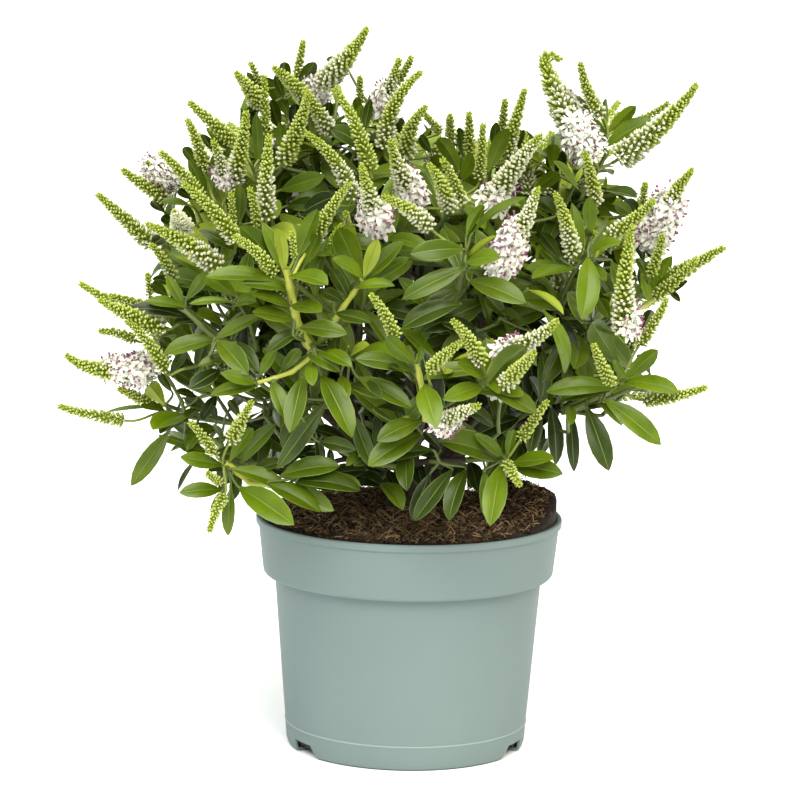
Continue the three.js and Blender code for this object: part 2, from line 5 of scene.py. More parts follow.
import bpy
import numpy as np
from mathutils import Euler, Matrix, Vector

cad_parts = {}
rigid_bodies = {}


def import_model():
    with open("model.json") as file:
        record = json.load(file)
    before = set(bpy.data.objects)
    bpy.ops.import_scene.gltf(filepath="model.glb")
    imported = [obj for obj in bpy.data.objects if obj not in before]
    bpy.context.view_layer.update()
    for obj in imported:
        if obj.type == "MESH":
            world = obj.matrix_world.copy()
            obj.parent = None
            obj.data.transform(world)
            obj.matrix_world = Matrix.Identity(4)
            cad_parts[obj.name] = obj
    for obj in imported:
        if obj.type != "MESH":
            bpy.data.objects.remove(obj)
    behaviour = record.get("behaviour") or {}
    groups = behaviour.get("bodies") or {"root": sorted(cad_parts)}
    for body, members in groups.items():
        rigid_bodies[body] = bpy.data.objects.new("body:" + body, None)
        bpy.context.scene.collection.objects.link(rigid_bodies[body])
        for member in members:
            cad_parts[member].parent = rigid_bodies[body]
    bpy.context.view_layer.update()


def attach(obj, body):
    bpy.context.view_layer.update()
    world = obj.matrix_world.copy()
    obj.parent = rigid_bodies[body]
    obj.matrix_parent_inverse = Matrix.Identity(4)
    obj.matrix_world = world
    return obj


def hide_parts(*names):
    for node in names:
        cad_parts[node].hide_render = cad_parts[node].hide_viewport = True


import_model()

MM = 0.001  # places and sizes below are in millimetres, and meshes in metres
UP = np.array([0.0, 0.0, 1.0])

# ---- Camera ----

FRAME_SIZE = 800  # the picture's side, and the scale of the spots (u, v) below, from its top left corner
EYE = np.array([-13.2, -2200.0, 578.0])
TILT = math.radians(9.33)
ROLL = math.radians(-1.0)
FOCAL = 3607.0  # in the same steps as u and v
SENSOR = 36.0
VIEW_TURN = Euler((math.pi / 2 - TILT, ROLL, 0)).to_matrix()


def add_camera():
    camera = bpy.data.objects.new("camera", bpy.data.cameras.new("camera"))
    bpy.context.scene.collection.objects.link(camera)
    camera.location = Vector(EYE) * MM
    camera.rotation_euler = VIEW_TURN.to_euler()
    camera.data.sensor_width = SENSOR
    camera.data.lens = FOCAL * SENSOR / FRAME_SIZE
    camera.data.clip_end = 20
    bpy.context.scene.camera = camera


def place_seen(u, v, y):
    """The place at this depth that falls on this spot of the frame."""
    half = FRAME_SIZE / 2
    ray = np.array(VIEW_TURN @ Vector(((u - half) / FOCAL, (half - v) / FOCAL, -1)))
    return EYE + ray * ((y - EYE[1]) / ray[1])


def spot_of(places):
    """The spots of the frame that places fall on."""
    local = (np.atleast_2d(places) - EYE) @ np.array(VIEW_TURN)
    return FRAME_SIZE / 2 + FOCAL * np.stack([local[:, 0], -local[:, 1]], 1) / -local[:, 2:3]


# ---- The limbs and masses, as in the part's source ----

POT_HEIGHT = 144.5
SOIL_EDGE_HEIGHT = 140
SOIL_MOUND = 5
SOIL_LEVEL_RADIUS = 24
SOIL_TOP = SOIL_EDGE_HEIGHT + SOIL_MOUND
COLLAR_FOOT_RADIUS = 90.3
HEAP_PLACE = np.array([66.0, 36.0])
HEAP_HEIGHT = 12
HEAP_WIDTH = 17
CLEARANCE = 0.3
FOOT_HEIGHT = 17  # of the woody foot
STEM_SINK = 5  # stems start this far below the top of the woody foot
STEM_RADII = (2.7, 1.9)  # at the foot and the tip of a limb
BOUGH_RADII = (2.2, 1.6)
GROWTH_CENTRE = (0, 0, 225)  # shoots point away from here at their tips
GROWTH_LIFT = 0.45  # and up
STEM_LIFT = 0.5  # how much a stem leaves the foot upwards
FORK_LEAN = 0.35  # how much a bough leaves its carrier along it
LIMB_HANDLES = (0.36, 0.34)  # of a limb's curve, as shares of its span
LIMB_STEP = 3  # between the places where room round a bare limb is measured
MASS_STEM_LENGTH = 88
MASS_STEM_SHARE = 0.58
HEART_DEPTH = 30
TWIG_RADII = (1.9, 1.3)
SHOOT_ANGLE = math.radians(50)
SHOOT_LENGTHS = (64, 58, 50)
SHOOT_LENGTH_DRAW = (0.88, 0.24)  # draws are given as the least value, and the spread above it
SHOOT_STARTS = (0.18, 0.41, 0.64)
SHOOT_TURN_SPREAD = 28
LOWEST_LEAF = 151
LEAST_OVER_SOIL = 2
SEED = 4127
MASS_SEED_STEP = 97

# Name, limb that carries it ("foot" with heading and distance, or a limb with the share along it),
# tip of the leading shoot, pairs of side shoots, first turn, leading flower spike (heading, climb, length).
MASSES = (
    ("crown_left", "foot", (180, 5), (-62, -14, 396), 2, 20, (0, 58, 58)),
    ("crown_middle", "foot", (270, 5), (-6, -44, 384), 2, 60, (30, 78, 44)),
    ("crown_right", "foot", (0, 5), (116, -20, 374), 2, 10, (-5, 31, 68)),
    ("left", "foot", (205, 10.5), (-138, -70, 284), 2, 40, (190, 16, 56)),
    ("front_left_low", "foot", (240, 10.5), (-103, -86, 192), 2, 0, (225, 8, 34)),
    ("front_middle", "foot", (277, 10.5), (10, -148, 250), 2, 30, (320, 38, 40)),
    ("right_high", "foot", (335, 10.5), (148, -28, 298), 2, 70, (-8, 16, 46)),
    ("back_right", "foot", (35, 10.5), (120, 88, 275), 3, 30, (35, 30, 52)),
    ("back", "foot", (90, 10.5), (10, 142, 285), 3, 0, (85, 32, 50)),
    ("back_left", "foot", (145, 10.5), (-122, 80, 285), 3, 50, (150, 28, 56)),
    ("upper_left", "crown_left", 0.5, (-108, -62, 352), 2, 45, (205, 44, 52)),
    ("crown_back", "crown_middle", 0.42, (10, 54, 352), 3, 15, (95, 68, 44)),
    ("front_left_high", "crown_left", 0.3, (-52, -124, 314), 2, 75, (170, 50, 46)),
    ("crown_right_middle", "crown_right", 0.48, (66, 8, 368), 2, 35, (30, 72, 62)),
    ("front_right_high", "crown_middle", 0.3, (50, -114, 332), 2, 20, (300, 48, 48)),
    ("left_high", "left", 0.5, (-146, -8, 330), 2, 80, (182, 36, 56)),
    ("left_low", "left", 0.34, (-150, -30, 216), 2, 25, (184, 2, 60)),
    ("front_left", "front_left_low", 0.5, (-86, -122, 250), 2, 50, (215, 34, 34)),
    ("front_low", "front_middle", 0.3, (-24, -110, 196), 2, 10, (250, 5, 28)),
    ("front_right_low", "front_middle", 0.45, (62, -116, 202), 2, 40, (320, 30, 34)),
    ("right", "right_high", 0.36, (128, -80, 238), 2, 60, (-12, 2, 50)),
    ("right_high_front", "right_high", 0.5, (106, -90, 318), 2, 15, (300, 52, 46)),
    ("right_low", "back_right", 0.3, (118, 6, 222), 2, 55, (10, 20, 38)),
    ("back_right_high", "crown_right", 0.34, (70, 66, 350), 3, 65, (50, 52, 50)),
    ("back_right_low", "back", 0.3, (62, 120, 212), 3, 20, (60, 20, 44)),
    ("back_left_high", "back_left", 0.45, (-72, 74, 350), 3, 40, (130, 52, 50)),
    ("back_left_low", "back", 0.4, (-56, 122, 212), 3, 70, (115, 20, 44)),
    ("left_back_low", "back_left", 0.32, (-116, 58, 210), 2, 5, (165, 18, 42)),
)

# Leafy shoots that show at the front: spot and depth of the tip, turn of the first leaf pair, and size.
FRONT_SHOOTS = (
    (287, 272, -128, 10, 0.8), (364, 276, -118, 50, 0.8), (419, 364, -150, 25, 0.8),
    (486, 379, -148, 0, 0.8), (507, 458, -126, 45, 0.8), (617, 382, -88, 0, 0.9), (588, 250, -98, 0, 0.9),
    (650, 285, -52, 30, 0.8), (607, 137, -12, 20, 0.8), (575, 184, -42, 45, 0.8), (459, 187, -68, 10, 0.9),
    (466, 252, -126, 5, 0.9), (362, 147, -52, 0, 0.9), (297, 90, -22, 35, 0.8), (250, 162, -56, 60, 0.9),
    (213, 198, -66, 20, 0.9), (186, 310, -78, 70, 0.8), (160, 242, -22, 10, 0.8), (168, 412, -34, 30, 0.8),
    (226, 464, -88, 0, 0.8), (256, 381, -116, 35, 0.9), (300, 476, -108, 60, 0.8),
    (440, 462, -110, 15, 1.0), (400, 142, -18, 30, 0.8), (382, 225, -96, 75, 0.9), (530, 222, -96, 40, 0.9),
    (492, 162, -28, 20, 0.8), (585, 405, -45, 55, 0.9), (346, 352, -124, 20, 0.9),
    (300, 392, -108, 65, 1.0), (235, 300, -92, 15, 0.9), (545, 300, -62, 30, 0.9), (330, 205, -62, 45, 0.9),
    (400, 425, -112, 40, 1.0), (556, 400, -70, 10, 0.9), (205, 268, -74, 80, 0.9),
    (436, 305, -114, 60, 0.9), (500, 318, -102, 25, 0.9), (185, 440, -52, 35, 0.8),
    (606, 318, -74, 40, 0.9),
)

# Single leaves that show at the front: spots of root and tip, depth of the root, width, and tint. The tints
# are partly painted shade: the darker ones go to leaves that sit in shadow.
FRONT_LEAVES = (
    # round the yellow stem, upper left of the middle
    (290, 276, 328, 285, -128, 11, "f"), (284, 272, 277, 228, -126, 9.6, "y"),
    (284, 272, 262, 222, -121, 8.5, "f"), (285, 274, 240, 226, -118, 15.5, "g"),
    (298, 257, 317, 209, -118, 11.5, "f"), (282, 283, 206, 277, -120, 10, "f"),
    (288, 290, 241, 284, -122, 10, "g"), (290, 306, 252, 295, -122, 9.5, "g"),
    (292, 305, 322, 312, -126, 11, "g"), (293, 320, 252, 312, -122, 9, "g"),
    (300, 328, 347, 334, -124, 10, "g"), (302, 330, 268, 352, -116, 9, "d"),
    (308, 354, 340, 372, -122, 10, "g"), (324, 352, 352, 367, -126, 10, "f"),
    (234, 249, 199, 230, -84, 7.5, "d"), (312, 364, 313, 386, -126, 8.5, "f"),
    (281, 371, 300, 349, -110, 8, "g"), (259, 376, 277, 349, -112, 7, "f"),
    # right of it
    (364, 277, 378, 239, -122, 9.5, "y"), (363, 278, 332, 259, -124, 8.5, "f"),
    (361, 277, 338, 229, -114, 16, "g"), (366, 279, 404, 241, -116, 11, "g"),
    (370, 280, 409, 258, -112, 8, "g"), (356, 288, 395, 286, -124, 8, "f"),
    (350, 300, 331, 268, -112, 8.5, "d"), (336, 313, 371, 322, -118, 9, "d"),
    (344, 303, 322, 291, -112, 9, "d"),
    # middle
    (416, 364, 386, 337, -146, 11.5, "f"), (417, 364, 421, 347, -150, 5, "f"),
    (414, 364, 408, 345, -146, 4.5, "g"), (414, 371, 355, 359, -142, 10, "g"),
    (359, 378, 412, 408, -130, 13, "g"), (424, 386, 437, 428, -152, 15, "f"),
    (414, 380, 388, 366, -138, 9, "d"), (341, 376, 347, 400, -126, 9, "f"),
    (350, 386, 382, 399, -122, 12.5, "d"), (322, 376, 352, 438, -128, 17, "g"),
    (302, 378, 290, 433, -120, 14.5, "g"), (272, 380, 286, 419, -114, 10, "g"),
    (326, 402, 277, 469, -104, 12, "d"), (374, 409, 405, 416, -112, 9.5, "o"),
    (420, 421, 377, 441, -126, 11.5, "g"),
    # right of the middle
    (482, 387, 443, 400, -150, 11.5, "f"), (484, 378, 457, 363, -150, 10, "f"),
    (488, 377, 521, 353, -146, 13, "f"), (487, 382, 499, 394, -152, 7, "f"),
    (488, 386, 536, 414, -146, 13, "g"), (486, 382, 524, 396, -144, 10, "f"),
    (463, 249, 410, 254, -128, 12, "g"), (465, 268, 402, 299, -126, 11.5, "g"),
    (470, 281, 526, 303, -126, 13.5, "g"), (460, 304, 402, 328, -118, 11.5, "d"),
    (466, 262, 500, 258, -132, 11, "f"), (458, 290, 424, 312, -110, 9, "d"),
    (467, 234, 484, 205, -126, 8, "f"), (473, 233, 527, 197, -124, 6.5, "g"),
    (470, 270, 512, 292, -122, 8, "g"), (530, 330, 500, 312, -104, 10, "d"),
    (506, 318, 486, 296, -100, 10, "d"), (476, 330, 440, 322, -104, 10, "o"),
    # lower right of the middle
    (503, 456, 474, 434, -126, 7.5, "f"), (508, 458, 514, 429, -128, 7, "f"),
    (513, 463, 554, 459, -128, 11, "f"), (512, 465, 563, 474, -122, 13.5, "g"),
    (499, 461, 438, 441, -118, 16, "g"), (500, 466, 490, 526, -132, 16.5, "f"),
    (484, 472, 487, 519, -124, 10, "g"), (466, 470, 449, 521, -118, 13, "d"),
    (452, 470, 414, 521, -112, 13, "d"), (430, 474, 412, 520, -106, 10, "o"),
    (407, 453, 407, 491, -112, 13.5, "d"), (382, 484, 403, 510, -100, 12, "g"),
    (421, 434, 368, 466, -122, 14, "g"), (432, 450, 372, 462, -114, 10, "d"),
    (480, 440, 446, 428, -118, 9, "d"),
    # right side
    (614, 388, 546, 392, -90, 9.5, "f"), (610, 391, 559, 401, -86, 8, "f"),
    (624, 383, 679, 393, -92, 12.5, "f"), (618, 363, 592, 322, -84, 15.5, "g"),
    (626, 379, 658, 350, -90, 10.5, "f"), (627, 378, 613, 360, -94, 6, "f"),
    (605, 400, 661, 445, -88, 14.2, "f"), (587, 408, 609, 471, -74, 14.5, "d"),
    (570, 409, 574, 472, -64, 9.5, "o"), (551, 407, 556, 465, -62, 11, "o"),
    (570, 404, 570, 425, -82, 8, "f"), (640, 385, 646, 377, -76, 6, "g"),
    (588, 258, 582, 320, -102, 16, "f"), (574, 268, 532, 279, -100, 12.5, "f"),
    (591, 234, 589, 197, -94, 9, "f"), (591, 257, 621, 243, -98, 8.5, "f"),
    (599, 298, 610, 318, -88, 9.5, "g"), (612, 262, 622, 300, -82, 10, "g"),
    (641, 272, 649, 302, -56, 6, "f"), (652, 291, 661, 261, -56, 8, "f"),
    (651, 293, 695, 265, -50, 8.5, "g"), (656, 296, 688, 281, -44, 8, "g"),
    (668, 290, 680, 302, -40, 5, "d"), (560, 258, 540, 232, -84, 8.5, "d"),
    # upper right
    (605, 147, 652, 119, -16, 10.5, "g"), (608, 133, 636, 106, -12, 9.5, "f"),
    (606, 130, 606, 98, -10, 6, "g"), (590, 130, 571, 93, -4, 8, "d"), (459, 171, 438, 138, -58, 10.5, "g"),
    (488, 171, 507, 128, -50, 10.5, "g"), (462, 180, 472, 153, -62, 9, "f"),
    (508, 160, 523, 130, -20, 10, "d"), (535, 191, 559, 172, -66, 9.5, "g"),
    (551, 167, 553, 144, -40, 8.5, "f"), (577, 188, 553, 161, -50, 8, "g"),
    (494, 150, 496, 122, -30, 7, "d"), (606, 150, 591, 116, -6, 6, "g"), (604, 191, 637, 198, -44, 10, "d"),
    (556, 214, 536, 200, -84, 10, "d"),
    # upper left
    (281, 190, 325, 176, -44, 10.5, "g"), (288, 206, 330, 208, -40, 10.5, "d"),
    (364, 150, 329, 128, -40, 10, "d"), (258, 165, 256, 113, -50, 7.5, "g"),
    (230, 150, 206, 128, -50, 7, "g"), (206, 196, 188, 160, -58, 8.5, "g"),
    (213, 196, 216, 151, -62, 7.5, "f"), (285, 90, 284, 62, -20, 8.5, "g"),
    (297, 92, 315, 62, -27, 10.5, "g"), (364, 132, 371, 99, -40, 6.5, "d"),
    (356, 128, 362, 104, -42, 5.5, "f"), (180, 186, 153, 183, -30, 6, "f"),
    (190, 206, 161, 202, -44, 5.5, "g"), (270, 180, 282, 150, -46, 8, "g"),
    (240, 130, 258, 104, -34, 8, "d"), (236, 216, 252, 190, -76, 9, "d"),
    (300, 214, 336, 196, -50, 10, "o"), (262, 150, 240, 108, -36, 6, "d"),
    # left side
    (184, 307, 147, 302, -80, 8, "f"), (189, 318, 125, 309, -76, 7, "o"), (184, 306, 166, 275, -78, 7, "f"),
    (186, 300, 207, 272, -80, 8.5, "g"), (216, 340, 164, 354, -88, 10, "g"),
    (237, 297, 205, 275, -100, 12, "f"), (234, 302, 189, 304, -98, 4.5, "f"),
    (234, 309, 257, 302, -102, 10, "f"), (216, 338, 261, 315, -100, 9, "g"),
    (237, 343, 258, 372, -102, 10, "d"), (218, 341, 248, 375, -104, 13.5, "g"),
    (255, 383, 221, 373, -120, 8.5, "f"), (257, 386, 210, 395, -118, 9.5, "g"),
    (220, 370, 189, 389, -96, 10.5, "o"), (155, 407, 104, 413, -30, 3.6, "f"),
    (169, 431, 131, 486, -34, 12, "g"), (184, 414, 153, 430, -60, 18, "f"),
    (165, 405, 149, 385, -56, 12, "y"), (186, 418, 160, 434, -56, 12, "g"),
    (200, 410, 184, 422, -50, 9, "d"), (232, 360, 198, 366, -96, 7, "g"),
    # lower left
    (221, 465, 180, 457, -88, 9.5, "f"), (196, 460, 178, 491, -76, 4, "o"),
    (221, 490, 179, 493, -90, 9.5, "f"), (231, 488, 228, 536, -90, 9, "g"),
    (225, 488, 211, 516, -94, 5, "f"), (230, 461, 253, 428, -92, 9.5, "f"),
    (241, 463, 276, 424, -86, 10, "g"), (231, 469, 286, 487, -94, 9.5, "f"),
    (240, 488, 294, 525, -100, 18, "f"), (268, 484, 320, 512, -104, 13, "g"),
    (290, 484, 334, 511, -100, 12, "g"), (281, 476, 340, 466, -104, 11, "g"),
    (296, 482, 361, 491, -108, 13.5, "d"), (320, 442, 356, 450, -104, 9, "d"),
    (252, 470, 284, 462, -84, 9, "d"), (352, 414, 373, 468, -104, 12, "d"),
    (317, 438, 321, 466, -92, 6.5, "o"), (330, 448, 331, 467, -86, 5, "o"),
    (358, 451, 346, 466, -100, 5.5, "g"), (375, 456, 353, 466, -98, 6.5, "d"),
    (312, 448, 284, 470, -70, 8, "o"), (304, 434, 292, 462, -56, 9, "o"),
    (347, 442, 314, 430, -78, 8.5, "o"), (336, 476, 361, 487, -92, 7, "g"),
    (366, 470, 330, 474, -50, 9, "o"), (340, 424, 366, 444, -50, 9, "o"), (300, 425, 326, 441, -44, 9, "o"),
    # further in, most of them tinted dark as painted shade for the shadowed depths
    (536, 420, 540, 450, -30, 10, "o"), (560, 404, 532, 432, -36, 10, "o"),
    (216, 396, 202, 420, -40, 8, "o"), (186, 352, 172, 378, -30, 9, "o"), (200, 372, 176, 360, -36, 9, "d"),
    (238, 470, 234, 500, -70, 9, "d"), (228, 412, 243, 398, -50, 8, "o"), (246, 424, 262, 440, -46, 9, "o"),
    (184, 398, 206, 408, -34, 7, "d"), (640, 334, 652, 310, -20, 9, "d"),
    (640, 236, 656, 262, -24, 10, "d"), (648, 262, 640, 286, -20, 10, "o"),
    (352, 476, 384, 486, -30, 11, "o"), (388, 470, 396, 492, -40, 9, "o"),
    (416, 462, 424, 488, -30, 10, "o"), (452, 462, 444, 486, -30, 10, "o"),
    (470, 462, 478, 492, -30, 13, "o"), (484, 470, 468, 488, -20, 10, "o"),
    (500, 470, 516, 482, -30, 9, "o"), (538, 408, 530, 454, -50, 11, "d"),
    (544, 432, 526, 446, -40, 8, "o"), (644, 262, 636, 232, -40, 8, "d"), (170, 374, 186, 350, -50, 7, "d"),
    (172, 392, 158, 372, -40, 6, "g"), (216, 428, 184, 433, -50, 9, "d"), (206, 452, 178, 446, -60, 7, "g"),
    (262, 400, 240, 388, -60, 8, "d"), (240, 418, 229, 400, -60, 6.5, "d"),
    (282, 158, 279, 122, -50, 8, "f"), (304, 266, 319, 235, -112, 9, "g"),
    (240, 222, 240, 184, -80, 9, "g"), (258, 122, 240, 112, -36, 6, "o"), (313, 403, 282, 448, -96, 9, "d"),
    (200, 430, 187, 451, -60, 8, "g"), (226, 332, 210, 314, -70, 8, "o"), (198, 168, 184, 147, -40, 8, "g"),
    (640, 216, 626, 199, -50, 8, "d"), (213, 151, 202, 134, -50, 6, "d"), (176, 226, 162, 216, -40, 7, "d"),
    (196, 396, 176, 392, -50, 7, "d"), (322, 456, 300, 452, -60, 8, "o"), (402, 136, 399, 118, -20, 7, "d"),
    (540, 458, 548, 438, -50, 8, "o"), (466, 466, 450, 478, -40, 9, "o"), (270, 398, 256, 388, -60, 7, "d"),
    (176, 284, 152, 279, -50, 7, "d"), (226, 474, 208, 472, -60, 7, "d"), (196, 200, 178, 190, -50, 7, "d"),
    (222, 324, 196, 314, -84, 9, "g"), (600, 403, 622, 426, -84, 9, "g"), (168, 297, 152, 283, -60, 8, "g"),
    (216, 420, 212, 404, -50, 5, "o"), (222, 440, 214, 424, -60, 6, "d"), (330, 118, 328, 102, -24, 7, "d"),
    (166, 412, 140, 407, -44, 7, "f"), (606, 408, 588, 410, -60, 7, "d"), (298, 477, 268, 468, -30, 8, "o"),
    (324, 461, 294, 454, -10, 7, "o"), (334, 493, 312, 487, -64, 6, "d"), (358, 471, 336, 472, -20, 7, "o"),
    (386, 473, 358, 466, -20, 8, "o"), (438, 463, 414, 454, -20, 8, "o"), (450, 475, 428, 466, -20, 8, "o"),
    (380, 486, 356, 484, -40, 6, "o"), (286, 462, 262, 474, -20, 8, "o"), (634, 216, 616, 203, -60, 8, "g"),
    (196, 224, 184, 206, -50, 7, "d"), (431, 153, 420, 135, -30, 7, "d"), (463, 158, 459, 127, -18, 7, "d"),
    (284, 98, 275, 75, -30, 6, "d"), (648, 280, 637, 258, -60, 7, "g"), (290, 118, 266, 77, -24, 10.5, "g"),
    (264, 100, 247, 72, -34, 7, "d"), (362, 118, 356, 98, -34, 6, "f"), (520, 444, 512, 464, -40, 9, "d"),
    (504, 436, 500, 458, -50, 9, "d"), (497, 462, 486, 478, -50, 9, "d"),
    (200, 388, 176, 372, -56, 10, "d"), (196, 372, 206, 342, -60, 9, "d"),
    (214, 392, 190, 378, -70, 9, "g"), (204, 322, 174, 324, -70, 8, "o"), (176, 352, 161, 338, -44, 8, "g"),
    (166, 236, 152, 246, -40, 9, "o"), (164, 212, 152, 200, -24, 8, "d"), (340, 62, 326, 60, 0, 5, "d"),
    (368, 212, 360, 196, -60, 9, "o"), (536, 232, 540, 214, -60, 9, "d"), (516, 226, 514, 206, -70, 8, "d"),
    (650, 374, 640, 354, -60, 8, "d"), (280, 128, 270, 100, -20, 10, "d"),
    (292, 130, 296, 104, -24, 10, "o"), (268, 150, 262, 120, -30, 10, "d"),
    (440, 449, 424, 431, -40, 8, "o"), (405, 386, 386, 376, -96, 6, "o"),
    (488, 384, 526, 346, -158, 14, "g"),
)

# Green stems that show between the leaves: spots along them, depth at either end, radius, and tone.
FRONT_STEMS = (
    (((286, 268), (290, 287), (294, 306), (298, 326), (307, 343), (318, 356)), -128, -108, 2.5, "yellow"),
    (((363, 278), (353, 294), (344, 306), (335, 320)), -120, -108, 1.7, "yellow"),
    (((417, 362), (419, 375), (423, 392), (426, 420)), -150, -130, 1.9, "yellow"),
    (((184, 310), (201, 325), (218, 341), (236, 366)), -80, -90, 1.7, "green"),
    (((256, 383), (274, 378), (292, 372), (310, 358)), -116, -108, 1.4, "yellow"),
    (((226, 462), (238, 472), (250, 482), (270, 484)), -90, -88, 2.1, "yellow"),
    (((662, 293), (648, 303), (634, 314), (618, 326)), -50, -60, 1.5, "yellow"),
    (((617, 384), (604, 394), (588, 402), (566, 412)), -88, -60, 1.6, "green"),
    (((508, 458), (506, 468), (502, 480)), -126, -100, 1.7, "green"),
    (((466, 250), (464, 266), (458, 288), (452, 310)), -128, -100, 1.8, "green"),
    (((590, 234), (588, 250), (584, 272), (572, 300)), -98, -70, 1.8, "green"),
    (((168, 410), (184, 420), (200, 432), (222, 446)), -36, -60, 1.5, "green"),
    (((161, 366), (172, 384), (182, 402), (186, 420)), -44, -52, 1.1, "green"),
    (((310, 246), (300, 262), (292, 278)), -110, -124, 1.1, "yellow"),
)

# Flower spikes that show at the front: spots of foot and tip, depth, width at the foot, share in open
# flower, share in cream bud, and how far the middle bows to the right of the way from foot to tip.
FRONT_SPIKES = (
    (320, 87, 366, 30, -30, 18, 0.0, 0.5, 2), (296, 82, 303, 43, -25, 7, 0, 0, 0),
    (262, 108, 237, 74, -30, 15, 0, 0.1, 1), (262, 86, 251, 64, -34, 5, 0, 0, 0),
    (306, 98, 275, 69, -35, 13, 0, 0.1, 1), (266, 146, 264, 77, -44, 9, 0, 0, 0),
    (331, 134, 305, 90, -42, 13, 0, 0.4, 0), (235, 143, 190, 103, -52, 12, 0, 0, 0),
    (206, 172, 188, 121, -54, 11, 0, 0, 1), (230, 190, 246, 113, -60, 15, 0, 0.3, 2),
    (266, 222, 269, 137, -92, 14, 0, 0.45, -1), (281, 166, 308, 94, -60, 15, 0, 0.12, 2),
    (354, 202, 307, 134, -74, 13, 0, 0.45, 6), (372, 178, 335, 89, -66, 13, 0, 0, 4),
    (360, 104, 360, 79, -26, 6, 0, 0, 0), (377, 116, 399, 60, -28, 11, 0.35, 0.65, 1),
    (395, 84, 411, 58, -30, 7, 0, 0, 1), (385, 156, 420, 73, -40, 14, 0, 0.3, -9),
    (202, 200, 161, 153, -62, 11, 0, 0, 2), (172, 201, 124, 171, -26, 13, 0, 0.08, -1),
    (157, 248, 98, 195, -22, 14, 0, 0.14, 0), (222, 270, 148, 225, -82, 17, 0, 0.4, 3),
    (240, 246, 185, 185, -92, 13, 0, 0.1, 3), (276, 276, 236, 238, -118, 10, 0, 0, 3),
    (184, 231, 175, 212, -70, 16, 0, 1.0, 0), (174, 280, 152, 246, -60, 9, 0, 0.2, 2),
    (312, 246, 348, 185, -106, 12, 0, 0.1, -2), (378, 230, 362, 168, -100, 16, 0.22, 0.64, 0),
    (416, 205, 391, 142, -72, 17, 0.18, 0.66, -2), (432, 230, 385, 198, -118, 13, 0, 0.5, 3),
    (234, 234, 231, 194, -90, 5, 0, 0, 0), (257, 226, 250, 190, -94, 7, 0, 0, 1),
    (294, 258, 292, 234, -130, 4, 0, 0, 0), (150, 297, 148, 276, -60, 5, 0, 0, 0),
    (348, 224, 346, 214, -100, 4, 0, 0, 0), (407, 157, 425, 108, -40, 14, 0, 0.1, -5),
    (441, 131, 426, 116, -10, 6, 0, 0, 0), (451, 142, 450, 116, -14, 9, 0, 0, 0),
    (470, 156, 469, 114, -24, 9, 0, 0, 0), (479, 182, 483, 126, -50, 9, 0, 0.1, 0),
    (502, 130, 505, 101, -24, 7, 0, 0.1, 0), (505, 158, 524, 92, -34, 12, 0, 0.2, 0),
    (450, 211, 430, 166, -96, 13, 0, 0.3, 2), (464, 206, 443, 161, -86, 9, 0, 0.15, 1),
    (488, 208, 541, 136, -78, 18, 0.08, 0.85, -2), (494, 272, 537, 190, -118, 18, 0.38, 0.88, 3),
    (603, 118, 581, 64, -14, 11, 0, 0.15, -3), (612, 163, 696, 85, -18, 20, 0, 0.45, 5),
    (636, 122, 667, 104, -10, 6, 0, 0.1, 1), (649, 247, 691, 171, -44, 20, 0.48, 0.7, -3),
    (643, 204, 645, 185, -46, 6, 0, 0, 0), (606, 238, 653, 201, -84, 12, 0, 0.2, 2),
    (596, 206, 585, 154, -64, 11, 0, 0.2, 1), (573, 258, 556, 195, -98, 13, 0, 0.4, 2),
    (668, 279, 723, 248, -44, 13, 0, 0, 0), (652, 299, 695, 261, -50, 11, 0, 0, 1),
    (625, 342, 632, 228, -104, 17, 0.01, 0.42, -3), (638, 347, 666, 301, -84, 9, 0, 0, 1),
    (640, 400, 704, 388, -80, 12, 0, 0.1, 2), (612, 384, 594, 346, -100, 10, 0, 0, -1),
    (650, 276, 662, 236, -60, 9, 0, 0, 1), (396, 340, 372, 296, -144, 10, 0, 0, 2),
    (428, 372, 460, 343, -154, 10, 0, 0, -1), (482, 364, 454, 322, -152, 13, 0, 0.1, 2),
    (498, 356, 556, 322, -140, 15, 0.08, 0.74, 3), (503, 386, 534, 353, -154, 13, 0, 0.1, 0),
    (520, 440, 546, 403, -132, 9, 0, 0, 0), (506, 462, 519, 484, -132, 8, 0, 0, 0),
    (438, 425, 478, 406, -142, 12, 0.1, 0.8, -1), (166, 330, 101, 301, -66, 16, 0, 0.06, -1),
    (150, 321, 81, 284, -56, 11, 0, 0, -1), (150, 307, 111, 296, -52, 8, 0, 0.1, 0),
    (136, 341, 101, 331, -60, 8, 0, 0, 2), (166, 373, 128, 322, -70, 11, 0, 0, 3),
    (155, 364, 67, 356, -52, 18, 0.31, 0.44, -9), (128, 421, 61, 407, -48, 10, 0, 0, -1),
    (152, 404, 120, 389, -40, 10, 0, 0, 0), (216, 456, 191, 423, -94, 8, 0, 0, 1),
    (230, 442, 251, 403, -104, 11, 0, 0.05, 0), (221, 483, 208, 474, -92, 6, 0, 0, 0),
    (225, 494, 210, 529, -98, 8, 0, 0, 1), (175, 182, 148, 164, -22, 9, 0.8, 0.1, 0),
    (228, 184, 214, 142, -60, 9, 0.2, 0.7, 0), (324, 102, 311, 78, -18, 5, 0.8, 0.1, 0),
)

HOOKED_SPIKE = ((597, 166, -24), (566, 112, -28), (522, 37, -32), (559, 59, -34))  # handles of its curve
HOOKED_WIDTH = 27
HOOKED_SHARES = (0.34, 0.66)  # in open flower, and in cream bud
SPIKE_SLENDERNESS = 4.4  # least length over width: what a spike lacks in the frame, it leans forward
SPIKE_LEAN = 0.8
LEAST_LEAN = 4
FRONT_LIMIT = -199  # millimetres, of the spikes' tips

